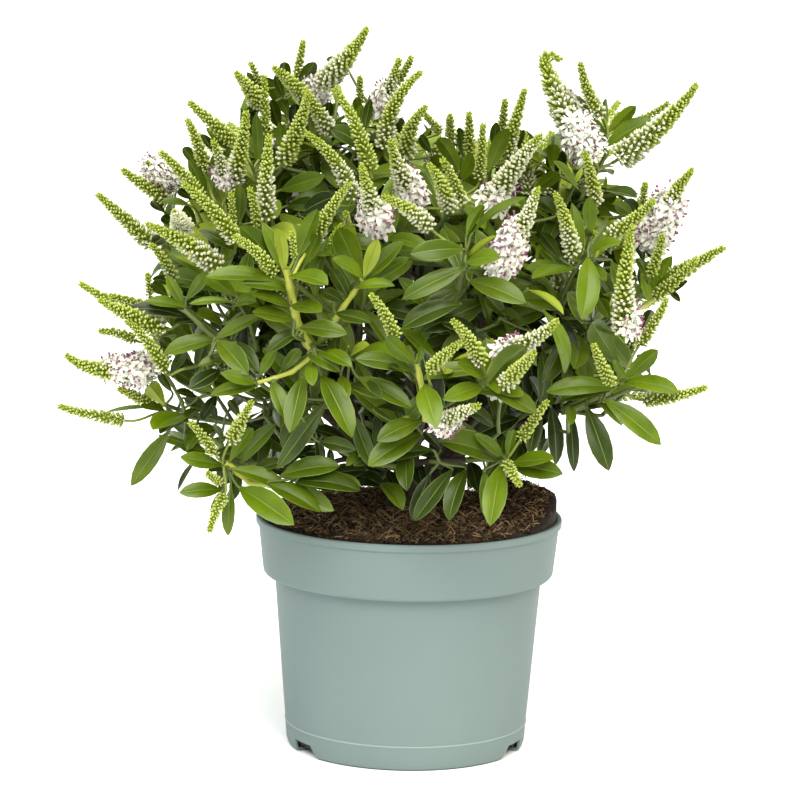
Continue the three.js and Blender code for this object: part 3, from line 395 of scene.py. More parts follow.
# The edge of the leaves as seen from the front, and the see-through gaps (spot and radius) inside it.
LEAF_EDGE = (
    (152, 440), (150, 405), (158, 378), (150, 352), (148, 322), (150, 300), (150, 262), (160, 235),
    (165, 205), (180, 178), (196, 150), (212, 133), (232, 120), (246, 96), (262, 84), (280, 72), (316, 70),
    (330, 82), (350, 100), (372, 102), (385, 120), (408, 114), (432, 120), (450, 130), (470, 138),
    (500, 124), (524, 132), (545, 142), (560, 112), (572, 96), (606, 98), (636, 106), (648, 120),
    (632, 150), (618, 165), (622, 188), (650, 198), (660, 243), (680, 268), (684, 280), (670, 300),
    (652, 320), (652, 350), (670, 392), (628, 424), (606, 450), (575, 452), (548, 458), (530, 478),
    (516, 486), (500, 508), (486, 512), (470, 500), (448, 508), (432, 500), (412, 508), (400, 500),
    (385, 492), (362, 486), (345, 488), (334, 500), (320, 504), (296, 512), (268, 500), (246, 484),
    (232, 506), (214, 500), (188, 484), (180, 456),
)
GAPS = (
    (621, 430, 8), (611, 420, 4), (594, 424, 3), (178, 372, 6), (217, 413, 6), (250, 400, 7), (264, 396, 6),
    (658, 362, 7), (219, 310, 5), (561, 432, 4), (582, 430, 4), (329, 423, 4), (339, 459, 5), (311, 447, 3),
    (204, 426, 4), (538, 446, 3), (224, 415, 4), (208, 416, 4), (241, 400, 4), (194, 476, 6),
)


# ---- Ways, draws and curves ----

DRAW_FACTOR = 16807
DRAW_PRIME = 2147483647


def unit(vectors):
    vectors = np.asarray(vectors, float)
    return vectors / np.linalg.norm(vectors, axis=-1, keepdims=True)


def heading(degrees):
    return np.array([math.cos(math.radians(degrees)), math.sin(math.radians(degrees)), 0.0])


def swung(vector, axis, angle):
    """A vector turned about an axis by an angle in radians."""
    along = axis * (axis @ vector) * (1 - math.cos(angle))
    return vector * math.cos(angle) + np.cross(axis, vector) * math.sin(angle) + along


def turned_pair(across, above, turns):
    """Two ways square to each other, turned in their plane."""
    return across * np.cos(turns) + above * np.sin(turns), above * np.cos(turns) - across * np.sin(turns)


def seeded_draws(seed):
    """A run of draws between 0 and 1 that is the same each time."""
    state = seed
    while True:
        state = state * DRAW_FACTOR % DRAW_PRIME
        yield state / DRAW_PRIME


def drawn(draw, least, spread):
    """A value from the least one up to this far above it."""
    return least + spread * next(draw)


def strayed(draw, spread):
    """A value to either side of none, up to half the spread."""
    return (next(draw) - 0.5) * spread


def part_way(ends, share):
    """A value this share of the way from the first end to the second."""
    return ends[0] + (ends[1] - ends[0]) * share


def many_drawn(draw, *counts):
    """An array of draws between 0 and 1."""
    return np.array([next(draw) for _ in range(math.prod(counts))]).reshape(counts)


class Curve:
    """A cubic curve through four handles, read by distance from its foot."""

    def __init__(self, *handles, steps=64):
        t = np.linspace(0, 1, steps + 1)[:, None]
        a, b, c, d = (np.asarray(handle, float) for handle in handles)
        self.points = a * (1 - t) ** 3 + 3 * b * t * (1 - t) ** 2 + 3 * c * t**2 * (1 - t) + d * t**3
        gaps = np.linalg.norm(np.diff(self.points, axis=0), axis=1)
        self.marks = np.concatenate([[0], np.cumsum(gaps)])
        self.length = self.marks[-1]

    def at(self, distance):
        return np.stack([np.interp(distance, self.marks, column) for column in self.points.T], -1)

    def way(self, distance):
        ahead = self.at(np.minimum(distance + 1, self.length))
        return unit(ahead - self.at(np.maximum(distance - 1, 0)))


def growth_at(tip):
    """The way that a shoot points at its tip: outwards from the plant's middle, and up."""
    return unit(unit(np.asarray(tip) - GROWTH_CENTRE) + GROWTH_LIFT * UP)


def bent_line(foot, leaving, tip, arriving, handles, *, span=None, steps=64):
    """A curve that leaves its foot one way and reaches its tip another; handles are shares of the span."""
    span = span or np.linalg.norm(tip - foot)
    near, far = foot + leaving * span * handles[0], tip - arriving * span * handles[1]
    return Curve(foot, near, far, tip, steps=steps)


def soil_height(x, y):
    """The lie of the soil: a mound that falls to the collar, and a heap that dies out at the wall."""
    radius = np.hypot(x, y)
    wall = COLLAR_FOOT_RADIUS
    fall = np.clip((radius - SOIL_LEVEL_RADIUS) / (wall - SOIL_LEVEL_RADIUS), 0, 1)
    away = np.hypot(x - HEAP_PLACE[0], y - HEAP_PLACE[1]) / HEAP_WIDTH
    edge = np.maximum(0, 1 - (radius / wall) ** 10)
    return SOIL_EDGE_HEIGHT + SOIL_MOUND * (1 - fall * fall) + HEAP_HEIGHT * np.exp(-away * away) * edge


def too_low(points):
    """Whether any of these points is under the lowest leaves or near the soil."""
    soil = soil_height(points[:, 0], points[:, 1]) + LEAST_OVER_SOIL
    return bool((points[:, 2] < np.maximum(LOWEST_LEAF, soil)).any())


class Limb:
    """A stem or bough with its mass of foliage: one line from its foot to the tip of the leading shoot."""

    def __init__(self, index, row, limbs):
        self.index = index
        self.name, carrier, place, tip, self.pairs, self.turn, self.spike = row
        self.tip = np.array(tip, float)
        self.parent = limbs.get(carrier)
        if self.parent:
            at = self.parent.bough_end * place
            foot = self.parent.line.at(at)
            leaving = unit(self.tip - foot) + FORK_LEAN * self.parent.line.way(at)
        else:
            foot = heading(place[0]) * place[1] + UP * (SOIL_TOP + CLEARANCE + FOOT_HEIGHT - STEM_SINK)
            leaving = unit(self.tip - foot) + STEM_LIFT * UP
        self.line = bent_line(foot, unit(leaving), self.tip, growth_at(self.tip), LIMB_HANDLES)
        self.heart = self.tip - growth_at(self.tip) * HEART_DEPTH
        self.stem_length = min(MASS_STEM_LENGTH, MASS_STEM_SHARE * self.line.length)
        self.bough_end = self.line.length - self.stem_length
        self.radii = BOUGH_RADII if self.parent else STEM_RADII
        self.node = ("bough_" if self.parent else "stem_") + self.name


def plan_limbs():
    limbs = {}
    for index, row in enumerate(MASSES):
        limbs[row[0]] = Limb(index, row, limbs)
    return list(limbs.values())


LIMBS = plan_limbs()
HEARTS = np.array([limb.heart for limb in LIMBS])
BARE_MARKS = [np.arange(0, limb.bough_end, LIMB_STEP) for limb in LIMBS]
BARE = np.concatenate([limb.line.at(marks) for limb, marks in zip(LIMBS, BARE_MARKS)])
BARE_LIMB = np.concatenate([np.full(len(marks), limb.index) for limb, marks in zip(LIMBS, BARE_MARKS)])


def inside_space(points, limb, slack):
    """Whether points stay high enough and nearest to a mass's heart, or this far beyond its space."""
    if too_low(points):
        return False
    apart = np.linalg.norm(HEARTS - limb.heart, axis=1)
    apart[limb.index] = np.inf
    squares = ((points[:, None] - HEARTS) ** 2).sum(-1)
    room = (squares - squares[:, limb.index : limb.index + 1]) / (2 * apart)
    room[:, limb.index] = np.inf
    return bool((room > -slack).all())


def off_limbs(points, margin, limb=None):
    """Whether points keep this far from the bare limbs, apart from the mass's own."""
    away = np.linalg.norm(np.atleast_2d(points)[:, None] - BARE, axis=-1)
    if limb is not None:
        away[:, BARE_LIMB == limb.index] = np.inf
    return bool((away > margin).all())


# ---- Shoots: the source's rule, carried on to finer twigs ----

SIDE_HANDLES = (0.38, 0.34)
SIDE_ENDING = (0.8, 0.4, 0.25)  # a side shoot ends along its parent, to its side and up by these shares
SIDE_TIP_RADIUS = 1.0
TWIGLET_LENGTH = 40
TWIGLET_LENGTH_DRAW = (0.8, 0.4)
TWIGLET_STARTS = (0.42, 0.66)  # shares of a side shoot or of a mass's stem
TWIGLET_TURN_SPREAD = 50
TIP_SPACING = 25  # shoots end at least this far from each other
FRONT_SPACING = 33  # and this far from the shoots that show at the front
SPACE_SLACK = 4  # shoots may leave their mass's space by this much
TIP_ROOM = 8  # between a shoot's tip and the other limbs
FRONT_REACH = 84  # the length of a front shoot
FRONT_LOOK = 0.8  # share of it behind the tip, near which the shoot looks for the stem that carries it
FRONT_LEAN = 0.5  # how much it leaves that stem along it
FRONT_HANDLES = (0.33, 0.38)
FRONT_RADII = (1.7, 1.1)
FACING = 0.35  # how much the front shoots turn to the front


class Shoot:
    """A leafy shoot, which may spring from another one."""

    def __init__(self, line, side, limb, radii, *, size=1.0, bare=0.0, parent=None, foot=0.0):
        self.line = line
        self.side = side
        self.limb = limb
        self.radii = radii
        self.size = size
        self.bare = bare  # length of its foot with no leaves
        self.parent = parent
        self.foot = foot  # distance along the parent
        self.reach = 0.0  # how far along it bears something
        self.leafy = True
        self.tip = line.points[-1]

    def bear(self, distance):
        self.reach = max(self.reach, distance)


def sideways(axis, degrees):
    """Square to an axis, turned about it from level."""
    return swung(unit(np.cross(axis, UP)), axis, math.radians(degrees))


def side_shoot(parent, at, side, reach):
    foot, axis = parent.line.at(at), parent.line.way(at)
    leaving = axis * math.cos(SHOOT_ANGLE) + side * math.sin(SHOOT_ANGLE)
    ending = unit(axis * SIDE_ENDING[0] + side * SIDE_ENDING[1] + UP * SIDE_ENDING[2])
    tip = foot + (leaving + ending) * reach / 2
    line = bent_line(foot, leaving, tip, ending, SIDE_HANDLES, span=reach, steps=24)
    return Shoot(line, side, parent.limb, (TWIG_RADII[1], SIDE_TIP_RADIUS), parent=parent, foot=at)


def side_shoots(leader, draw):
    """The side shoots of a mass, in opposite pairs along its stem."""
    limb = leader.limb
    shoots = []
    for level in range(limb.pairs):
        at = limb.bough_end + SHOOT_STARTS[level] * limb.stem_length
        for way in (0, 180):
            turn = limb.turn + 90 * level + way + strayed(draw, SHOOT_TURN_SPREAD)
            side = sideways(limb.line.way(at), turn)
            full = SHOOT_LENGTHS[level] * limb.stem_length / MASS_STEM_LENGTH
            shoots.append(side_shoot(leader, at, side, full * drawn(draw, *SHOOT_LENGTH_DRAW)))
    return shoots


def twiglets(parent, draw):
    """Finer twigs, in opposite pairs along a shoot."""
    shoots = []
    for level, share in enumerate(TWIGLET_STARTS):
        at = parent.bare + share * (parent.line.length - parent.bare)
        for way in (0, 180):
            turn = 45 + 90 * level + way + strayed(draw, TWIGLET_TURN_SPREAD)
            reach = TWIGLET_LENGTH * drawn(draw, *TWIGLET_LENGTH_DRAW)
            shoots.append(side_shoot(parent, at, sideways(parent.line.way(at), turn), reach))
    return shoots


def front_shoots(leaders):
    """The shoots that show at the front, each from the nearest stem or bough behind it."""
    shoots = []
    for u, v, y, turn, size in FRONT_SHOOTS:
        tip = place_seen(u, v, y)
        grows = unit(growth_at(tip) + FACING * np.array([0, -1, 0]))
        back = tip - grows * FRONT_REACH * FRONT_LOOK
        leader = min(leaders, key=lambda leader: np.linalg.norm(leader.line.points - back, axis=1).min())
        nearest = np.linalg.norm(leader.line.points - back, axis=1).argmin()
        foot, at = leader.line.points[nearest], leader.line.marks[nearest]
        leaving = unit(unit(tip - foot) + FRONT_LEAN * leader.line.way(at))
        line = bent_line(foot, leaving, tip, grows, FRONT_HANDLES, steps=32)
        side = sideways(grows, turn)
        shoots.append(Shoot(line, side, leader.limb, FRONT_RADII, size=size, parent=leader, foot=at))
    return shoots


def plan_shoots():
    """All shoots, parents first. Those too near to others bear no leaves of their own."""
    leaders, grown = [], []
    for limb in LIMBS:
        side = sideways(limb.line.way(limb.line.length), limb.turn + 45)
        leaders.append(Shoot(limb.line, side, limb, TWIG_RADII, bare=limb.bough_end))
    fronts = front_shoots(leaders)
    front_tips = np.array([shoot.tip for shoot in fronts])
    tips = []

    def free(shoot):
        if np.linalg.norm(front_tips - shoot.tip, axis=1).min() < FRONT_SPACING:
            return False
        if tips and np.linalg.norm(np.array(tips) - shoot.tip, axis=1).min() < TIP_SPACING:
            return False
        inside = inside_space(shoot.line.at(np.linspace(0, shoot.line.length, 5)), shoot.limb, SPACE_SLACK)
        return inside and off_limbs(shoot.tip, TIP_ROOM, shoot.limb) and in_leaf_edge(shoot.tip, 0)

    for leader in leaders:
        draw = seeded_draws(SEED + MASS_SEED_STEP * leader.limb.index)
        sides = side_shoots(leader, draw)
        finer = twiglets(leader, draw)
        for shoot in sides:
            finer += twiglets(shoot, draw)
        for shoot in [leader] + sides + finer:
            shoot.leafy = free(shoot)
            if shoot.leafy:
                tips.append(shoot.tip)
        grown += sides + [shoot for shoot in finer if shoot.leafy]
    return leaders + grown + fronts


class Wood:
    """The lines of all shoots, searched for the place that something springs from."""

    def __init__(self, shoots):
        self.shoots = shoots
        self.points = np.concatenate([shoot.line.points for shoot in shoots])
        self.marks = np.concatenate([shoot.line.marks for shoot in shoots])
        self.owners = np.concatenate([np.full(len(shoot.line.marks), k) for k, shoot in enumerate(shoots)])

    def spring(self, place):
        """The nearest shoot, which then bears something, with the place and the distance along it."""
        nearest = np.linalg.norm(self.points - place, axis=1).argmin()
        shoot = self.shoots[self.owners[nearest]]
        shoot.bear(self.marks[nearest])
        return shoot, self.points[nearest], self.marks[nearest]


# ---- Leaves ----

# Leaf pairs from a shoot's tip downwards: distance from the tip, leaf length, angle to the shoot, tint.
LEAF_PAIRS = (
    (0.5, 12, 14, 0), (3, 21, 26, 0), (8, 31, 40, 1), (15, 40, 54, 2), (23, 46, 67, 2), (32, 48, 78, 3),
    (42, 46, 88, 3), (53, 43, 96, 4),
)
LEAF_WIDTH_SHARE = 0.34
STATIONS = np.array([0, 0.05, 0.16, 0.32, 0.5, 0.68, 0.84, 0.94, 1.0])
OUTLINE = np.array([0.18, 0.24, 0.54, 0.86, 1.0, 0.95, 0.69, 0.33, 0.02])  # share of the half width there
ACROSS = np.array([-1, -0.94, -0.5, -0.04, 0.04, 0.5, 0.94, 1])
BELLY = 0.26  # of the half width, by which the blade curls under towards its margins
MIDRIB_SINK = 0.06
TINTS = ("young", "fresh", "green", "deep", "old")
TINT_LETTERS = "yfgdo"
# A leaf's habit, in degrees for its angles.
LEAF_SIZE_DRAW = (0.88, 0.24)
LEAF_WIDTH_DRAW = (0.92, 0.16)
LEAF_RISE_DRAW = (6, 14)
LEAF_DROOP_DRAW = (10, 34)
LEAF_FOLD_DRAW = (18, 18)
LEAF_TWIST_SPREAD = 50
LEAF_ANGLE_SPREAD = 16
LEAF_LIGHTWARD = 0.4  # how much the upper side turns to the light
LEAF_SET = 0.8  # from the middle of the shoot to the root of a leaf
LEAF_ROOM = 3.5  # between a leaf and the limbs
PAIR_TURN_SPREAD = 0.5  # radians
PAIR_BACK_DRAW = (0.9, 0.2)
LEAST_BACK = 4  # the lowest pair sits this far up the leafy part of its shoot
SHADES = 2.2  # tints that a shoot may differ by
PAINTED_SHADE_BELOW = 230  # shoots under this height are a tint darker, as painted shade of the lower crown
PAINTED_LIGHT_ABOVE = 330  # and those over this height a tint lighter, as painted light on the upper crown
# The front leaves.
FACING_UP = np.array([0.0, -0.72, 0.7])  # the way that their upper sides look
LEAST_FACING = 0.62
ROLL_SPREAD = 44  # degrees, about their own length
FRONT_ARCH_DRAW = (8, 22)
FRONT_FOLD_DRAW = (17, 19)
FRONT_TWIST_SPREAD = 36
FRONT_SLACK = 1.02  # of the length that shows
FRONT_NOD = 0.8  # how far a leaf that is short in the frame comes forward
LEAST_SHOWN = 0.7  # a leaf seen from its side is drawn wider, down to this share of its width showing
LEAF_SLENDERNESS = 2.95  # a leaf's length over its width
COVER_SPACING = 11  # in the frame: leaves grown by the rule keep this far from what is placed in front
COVER_DEPTH = 5  # and hide it from this far behind it
GAP_TOUCH = 0.8  # share of a leaf's half width that stays out of the see-through gaps


def in_leaf_edge(places, margin=3):
    """Whether places fall inside the edge of the leaves, or this far in spots beyond it."""
    edge = np.array(LEAF_EDGE, float)
    middle = edge.mean(0)
    edge += unit(edge - middle) * margin
    nexts = np.roll(edge, -1, axis=0)
    for u, v in spot_of(places):
        crosses = (edge[:, 1] > v) != (nexts[:, 1] > v)
        rise = np.where(nexts[:, 1] == edge[:, 1], 1, nexts[:, 1] - edge[:, 1])
        at = edge[:, 0] + (v - edge[:, 1]) * (nexts[:, 0] - edge[:, 0]) / rise
        if (crosses & (u < at)).sum() % 2 == 0:
            return False
    return True


def leaves_gaps(points, half_width):
    """Whether a leaf through these points leaves the see-through gaps open."""
    spots = spot_of(points)
    gaps = np.array(GAPS, float)
    away = np.linalg.norm(spots[:, None] - gaps[None, :, :2], axis=-1) - gaps[:, 2]
    return bool((away > half_width * FOCAL / -EYE[1] * GAP_TOUCH).all())


def leaf_stations(leaf):
    """The middle line of a leaf at its stations, with its ways along and above there."""
    angles = leaf["rise"] - (leaf["rise"] + leaf["droop"]) * STATIONS
    along = np.cos(angles)[:, None] * leaf["along"] + np.sin(angles)[:, None] * leaf["upper"]
    above = np.cos(angles)[:, None] * leaf["upper"] - np.sin(angles)[:, None] * leaf["along"]
    steps = np.diff(STATIONS)[:, None] * (along[1:] + along[:-1]) / 2 * leaf["length"]
    middle = leaf["root"] + np.concatenate([np.zeros((1, 3)), np.cumsum(steps, axis=0)])
    return middle, along, above


def leaf_points(leaf):
    """The corners of a leaf: at each station, from one margin over the midrib to the other."""
    middle, along, above = leaf_stations(leaf)
    half = leaf["length"] * leaf["width"] / 2 * OUTLINE
    side = np.cross(above, along)
    turns = (leaf["twist"] * STATIONS)[:, None]
    side, above = turned_pair(side, above, turns)
    midrib = np.abs(ACROSS) < 0.1
    lift = math.sin(leaf["fold"]) * np.abs(ACROSS) - BELLY * ACROSS**2 - MIDRIB_SINK * midrib
    points = middle[:, None] + side[:, None] * (half[:, None] * ACROSS * math.cos(leaf["fold"]))[..., None]
    return points + above[:, None] * (half[:, None] * lift)[..., None]


def strip_faces(columns):
    """The faces of some strips of a leaf, each strip running from root to tip."""
    count = len(ACROSS)
    faces = []
    for station in range(len(STATIONS) - 1):
        for k in columns:
            corner = station * count + k
            faces.append((corner, corner + count, corner + count + 1, corner + 1))
    return np.array(faces)


BLADE_FACES = strip_faces((1, 2, 4, 5))
PALE_FACES = strip_faces((0, 3, 6))  # the margins and the midrib


def leaf_on(shoot, at, way, pair, turn, draw):
    """A leaf at a node of a shoot, or None where it would leave the crown, hide a gap or touch a limb."""
    _, length, angle, _ = pair
    node, axis = shoot.line.at(at), shoot.line.way(at)
    out = swung(shoot.side, axis, turn)
    out = unit(out - axis * (out @ axis)) * way
    size = length * shoot.size * drawn(draw, *LEAF_SIZE_DRAW)
    lean = math.radians(angle + strayed(draw, LEAF_ANGLE_SPREAD))
    along = axis * math.cos(lean) + out * math.sin(lean)
    upper = axis * math.sin(lean) - out * math.cos(lean)
    upper = unit(upper + UP * LEAF_LIGHTWARD - along * along[2] * LEAF_LIGHTWARD)
    leaf = {
        "root": node + out * LEAF_SET,
        "along": along,
        "upper": unit(upper - along * (along @ upper)),
        "length": size,
        "width": LEAF_WIDTH_SHARE * drawn(draw, *LEAF_WIDTH_DRAW),
        "rise": math.radians(drawn(draw, *LEAF_RISE_DRAW)),
        "droop": math.radians(drawn(draw, *LEAF_DROOP_DRAW)),
        "fold": math.radians(drawn(draw, *LEAF_FOLD_DRAW)),
        "twist": math.radians(strayed(draw, LEAF_TWIST_SPREAD)),
    }
    middle = leaf_stations(leaf)[0]
    probes = middle[3::2]
    if too_low(probes) or not in_leaf_edge(middle[[4, 8]]):
        return None
    if not leaves_gaps(middle[2:], size * LEAF_WIDTH_SHARE / 2):
        return None
    return leaf if off_limbs(probes, LEAF_ROOM) else None


def front_leaf(row, draw):
    """A leaf given by the spots of its root and tip: what its length lacks there, it comes forward."""
    root_u, root_v, tip_u, tip_v, y, width, letter = row
    root = place_seen(root_u, root_v, y)
    flat = place_seen(tip_u, tip_v, y)
    seen = np.linalg.norm(flat - root)
    length = max(seen * FRONT_SLACK, width * LEAF_SLENDERNESS)
    tip = place_seen(tip_u, tip_v, y - FRONT_NOD * math.sqrt(max(length**2 - seen**2, 0)))
    along = unit(tip - root)
    arch = math.radians(drawn(draw, *FRONT_ARCH_DRAW))
    length = np.linalg.norm(tip - root) * arch / math.sin(arch)
    upper = FACING_UP - along * (along @ FACING_UP)
    if np.linalg.norm(upper) < LEAST_FACING:  # it grows towards the viewer and shows its lower side
        upper = along * along[1] - (0, 1, 0)
        upper *= math.copysign(1, upper[2])
    upper = swung(unit(upper), along, math.radians(strayed(draw, ROLL_SPREAD)))
    shown = math.sqrt(1 - np.cross(upper, along)[1] ** 2)
    leaf = {
        "root": root,
        "along": along,
        "upper": upper,
        "length": length,
        "width": width / max(shown, LEAST_SHOWN) / length,
        "rise": arch,
        "droop": arch,
        "fold": math.radians(drawn(draw, *FRONT_FOLD_DRAW)),
        "twist": math.radians(strayed(draw, FRONT_TWIST_SPREAD)),
    }
    return TINTS[TINT_LETTERS.index(letter)], leaf


class Cover:
    """What shows at the front, as spots with depths, which leaves grown by the rule don't hide."""

    def __init__(self):
        self.rows = []

    def add(self, places):
        places = np.atleast_2d(places)
        self.rows.append(np.column_stack([spot_of(places), places[:, 1]]))

    def close(self):
        self.rows = np.concatenate(self.rows)

    def hidden_by(self, places):
        """Whether something at these places would hide what shows at the front."""
        spots = spot_of(places)
        near = np.linalg.norm(spots[:, None] - self.rows[None, :, :2], axis=-1) < COVER_SPACING
        before = places[:, None, 1] < self.rows[None, :, 2] + COVER_DEPTH
        return bool((near & before).any())


def leaves_of(shoots, leaves, cover, draw):
    """The leaves of all the shoots, in crossed pairs, added by tint."""
    for shoot in shoots:
        if not shoot.leafy:
            continue
        # painted shade and light: shoots low in the crown take a darker tint, and high ones a lighter one
        shade = int(next(draw) * SHADES) - 1 + (shoot.tip[2] < PAINTED_SHADE_BELOW) - (shoot.tip[2] > PAINTED_LIGHT_ABOVE)
        room = shoot.line.length - shoot.bare - LEAST_BACK
        for level, pair in enumerate(LEAF_PAIRS):
            back = pair[0] * drawn(draw, *PAIR_BACK_DRAW)
            if back > room:
                break
            turn = level * math.pi / 2 + strayed(draw, PAIR_TURN_SPREAD)
            for way in (1, -1):
                leaf = leaf_on(shoot, shoot.line.length - back, way, pair, turn, draw)
                if leaf and not cover.hidden_by(leaf_stations(leaf)[0][2:]):
                    tint = min(max(pair[3] + shade, 0), len(TINTS) - 1)
                    leaves[TINTS[tint]].append(leaf)
                    shoot.bear(shoot.line.length - back)


# ---- Small shapes, planted many times ----

PIECE_TRIANGLES = 180_000  # the most in one piece
AT_A_SLANT = (0.31, 0.52, 0.79)  # along none of the shapes, so that a way across can be taken from it
TUBE_SLANT = (0.3, 0.5, 0.8)  # and the same for tubes
TUBE_END = 0.8  # how far a tube's last point stands out, as a share of its radius


class Pile:
    """The points and faces of many small things of one kind, joined into as few pieces as may be."""

    def __init__(self):
        self.parts = []

    def add(self, points, *face_sets):
        self.parts.append((np.asarray(points, float).reshape(-1, 3), face_sets))

    def joined(self):
        return joined_parts(self.parts)

    def pieces(self, name, material, slot):
        """The pile as pieces that ride with the part."""
        groups, room = [[]], PIECE_TRIANGLES
        for part in self.parts:
            count = sum(len(faces) * (faces.shape[1] - 2) for faces in part[1])
            if count > room:
                groups.append([])
                room = PIECE_TRIANGLES
            groups[-1].append(part)
            room -= count
        names = [name] if len(groups) == 1 else [f"{name}_{k}" for k in range(len(groups))]
        return [finished(piece_of(name, group), material, slot) for name, group in zip(names, groups)]


def joined_parts(parts):
    """The points of some parts as one list, with their faces renumbered to match."""
    faces, count = [], 0
    for points, face_sets in parts:
        faces.extend(np.asarray(face_set) + count for face_set in face_sets)
        count += len(points)
    return np.concatenate([points for points, _ in parts]), faces


def piece_of(name, parts):
    points, face_sets = joined_parts(parts)
    mesh = bpy.data.meshes.new(name)
    sizes = np.concatenate([np.full(len(faces), faces.shape[1]) for faces in face_sets])
    corners = np.concatenate([faces.ravel() for faces in face_sets])
    mesh.vertices.add(len(points))
    mesh.vertices.foreach_set("co", (points * MM).ravel())
    mesh.loops.add(len(corners))
    mesh.loops.foreach_set("vertex_index", corners.astype(np.int32))
    mesh.polygons.add(len(sizes))
    mesh.polygons.foreach_set("loop_start", np.concatenate([[0], np.cumsum(sizes)[:-1]]).astype(np.int32))
    mesh.update(calc_edges=True)
    mesh.shade_smooth()
    piece = bpy.data.objects.new(name, mesh)
    bpy.context.scene.collection.objects.link(piece)
    return piece


def finished(piece, material, slot, *nodes):
    """A piece with its material, riding with the part in place of the CAD nodes that it replaces."""
    piece.data.materials.clear()
    piece.data.materials.append(material)
    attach(piece, "root")
    if nodes:
        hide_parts(*nodes)
    return piece


def plant(pile, shape, roots, ways, lengths, widths, turns=0.0):
    """Copies of a small shape, each rooted at a place, pointing its own way and scaled to its own size."""
    if not len(roots):
        return
    points, *face_sets = shape
    ways = unit(ways)
    across = unit(np.cross(AT_A_SLANT, ways))
    above = np.cross(ways, across)
    turns = np.broadcast_to(turns, len(roots))[:, None]
    across, above = turned_pair(across, above, turns)
    lengths = np.broadcast_to(lengths, len(roots))[:, None, None]
    widths = np.broadcast_to(widths, len(roots))[:, None, None]
    placed = roots[:, None] + ways[:, None] * points[:, 0:1] * lengths
    placed = placed + (across[:, None] * points[:, 1:2] + above[:, None] * points[:, 2:3]) * widths
    offsets = (np.arange(len(roots)) * len(points))[:, None, None]
    pile.add(placed, *[(faces + offsets).reshape(-1, faces.shape[1]) for faces in face_sets])


def spun(rings, sides):
    """A small closed shape about its length: rings of (distance, radius), then a point at the far end."""
    points = []
    for level, (distance, radius) in enumerate(rings[:-1]):
        for k in range(sides):
            angle = 2 * math.pi * (k + level / 2) / sides
            points.append((distance, radius * math.cos(angle), radius * math.sin(angle)))
    points.append((rings[-1][0], 0, 0))
    quads, caps = [], []
    for level in range(len(rings) - 2):
        for k in range(sides):
            low, high = level * sides, (level + 1) * sides
            quads.append((low + k, low + (k + 1) % sides, high + (k + 1) % sides, high + k))
    top = (len(rings) - 2) * sides
    for k in range(sides):
        caps.append((top + k, top + (k + 1) % sides, len(points) - 1))
    return (np.array(points), *([np.array(quads)] if quads else []), np.array(caps))


def tube(points, radii, sides):
    """A round limb along a line of points, its far end closed by a point."""
    points = np.asarray(points, float)
    along = unit(np.gradient(points, axis=0))
    across = unit(np.cross(along[0], TUBE_SLANT))
    angles = 2 * np.pi * np.arange(sides) / sides
    rings = []
    for centre, way, radius in zip(points, along, radii):
        across = unit(across - way * (across @ way))
        aside = np.cross(way, across)
        rings.append(centre + radius * (np.cos(angles)[:, None] * across + np.sin(angles)[:, None] * aside))
    count = len(points)
    low = np.arange(count - 1)[:, None] * sides
    k = np.arange(sides)[None]
    after = (k + 1) % sides
    quads = np.stack([low + k, low + after, low + sides + after, low + sides + k], -1).reshape(-1, 4)
    last = (count - 1) * sides
    caps = np.stack([last + k[0], last + after[0], np.full(sides, count * sides)], -1)
    tip = points[-1] + along[-1] * radii[-1] * TUBE_END
    return np.concatenate([np.concatenate(rings), tip[None]]), quads, caps


# ---- Flower spikes ----

CALYX = spun(((-0.7, 0.24), (0.3, 1.0), (0.5, 0)), 4)
BUD = spun(((0.28, 0.8), (0.66, 0.96), (1.0, 0)), 4)
PETAL_STATIONS = ((0.1, 0.06, 0.07), (0.6, 0.14, 0.12), (0.86, 0.52, 0.24), (0.8, 1.02, 0.09))
STAMEN_START = np.array([0.5, 0.06, 0.0])
STAMEN_END = np.array([1.24, 0.44, 0.16])
STAMEN_RADII = (0.035, 0.03, 0.025)
POLLEN_SAC = spun(((-0.2, 0.09), (0.0, 0.16), (0.24, 0)), 4)
STALK_SHARE = 0.07  # of a spike's length, with no flowers
SPIKE_RADII = (1.05, 0.6)  # of its stalk, at the foot and the tip
SPIKE_SOLID = 0.97  # share of the spike that the stalk runs up
STALK_LENGTH = 8
STALK_RADIUS = 0.85
STALK_MARKS = 8
STALK_HANDLES = (0.3, 0.35)
SPIKE_HANDLES = (0.33, 0.3)
FULL_WIDTH = 13.5  # of a spike with buds of the sizes below
BUD_LENGTHS = (3.7, 2.2)  # at the foot and the tip of a spike
BUD_WIDTHS = (1.0, 0.72)  # half widths
BUD_STALKS = (2.9, 0.5)
BUD_ANGLES = (60, 30)  # degrees from the spike
BUD_ANGLE_SPREAD = 0.34  # radians
BUD_SCATTER = 1.6  # up and down the spike
BUD_ROOT = 0.5  # from the spike's middle
CREAM_PLUMP = 1.12
WHORL_STEPS = (2.85, 1.5)
WHORL_BUDS = (9, 6)
LEAST_BUDS = 4
FULLEST = 1.15  # share of the buds that a wide spike's whorl has
WHORL_TURN = 0.12
TAPER = 1.5  # power of the share along a spike, in how its buds change
TIP_SHARE = 0.84  # from here to the tip the buds are still green
FLOWER_REACH = 5.2
FLOWER_LARGEST = 1.1
FLOWER_SIZE_DRAW = (0.85, 0.3)
FLOWER_STRAY = 0.3
FLOWER_HEIGHTS = (1.4, 3.2, 2.2)  # of the flowers' feet over the stalk, layer by layer
HEIGHT_GROWTH = 1.2  # power of a spike's scale by which they rise
WIDE_SCALE = 1.5  # only spikes wider than this have the third layer
MIXING = 0.24  # share of a spike over which ripe and unripe flowers mingle
SUNNY_LEAD = 0.13  # share of a spike by which the side that it bows away from is ahead
RIPE_SHARE = 0.8  # of the flowers of the last layer, with stamens that show
FLOWER_TURN = 3  # radians, the most; the more a flower is turned, the larger it is
FIRST_TURN = 6  # radians, the most, of a spike's first whorl
LEAST_STEP = 0.3  # share of the step between whorls that narrow spikes keep
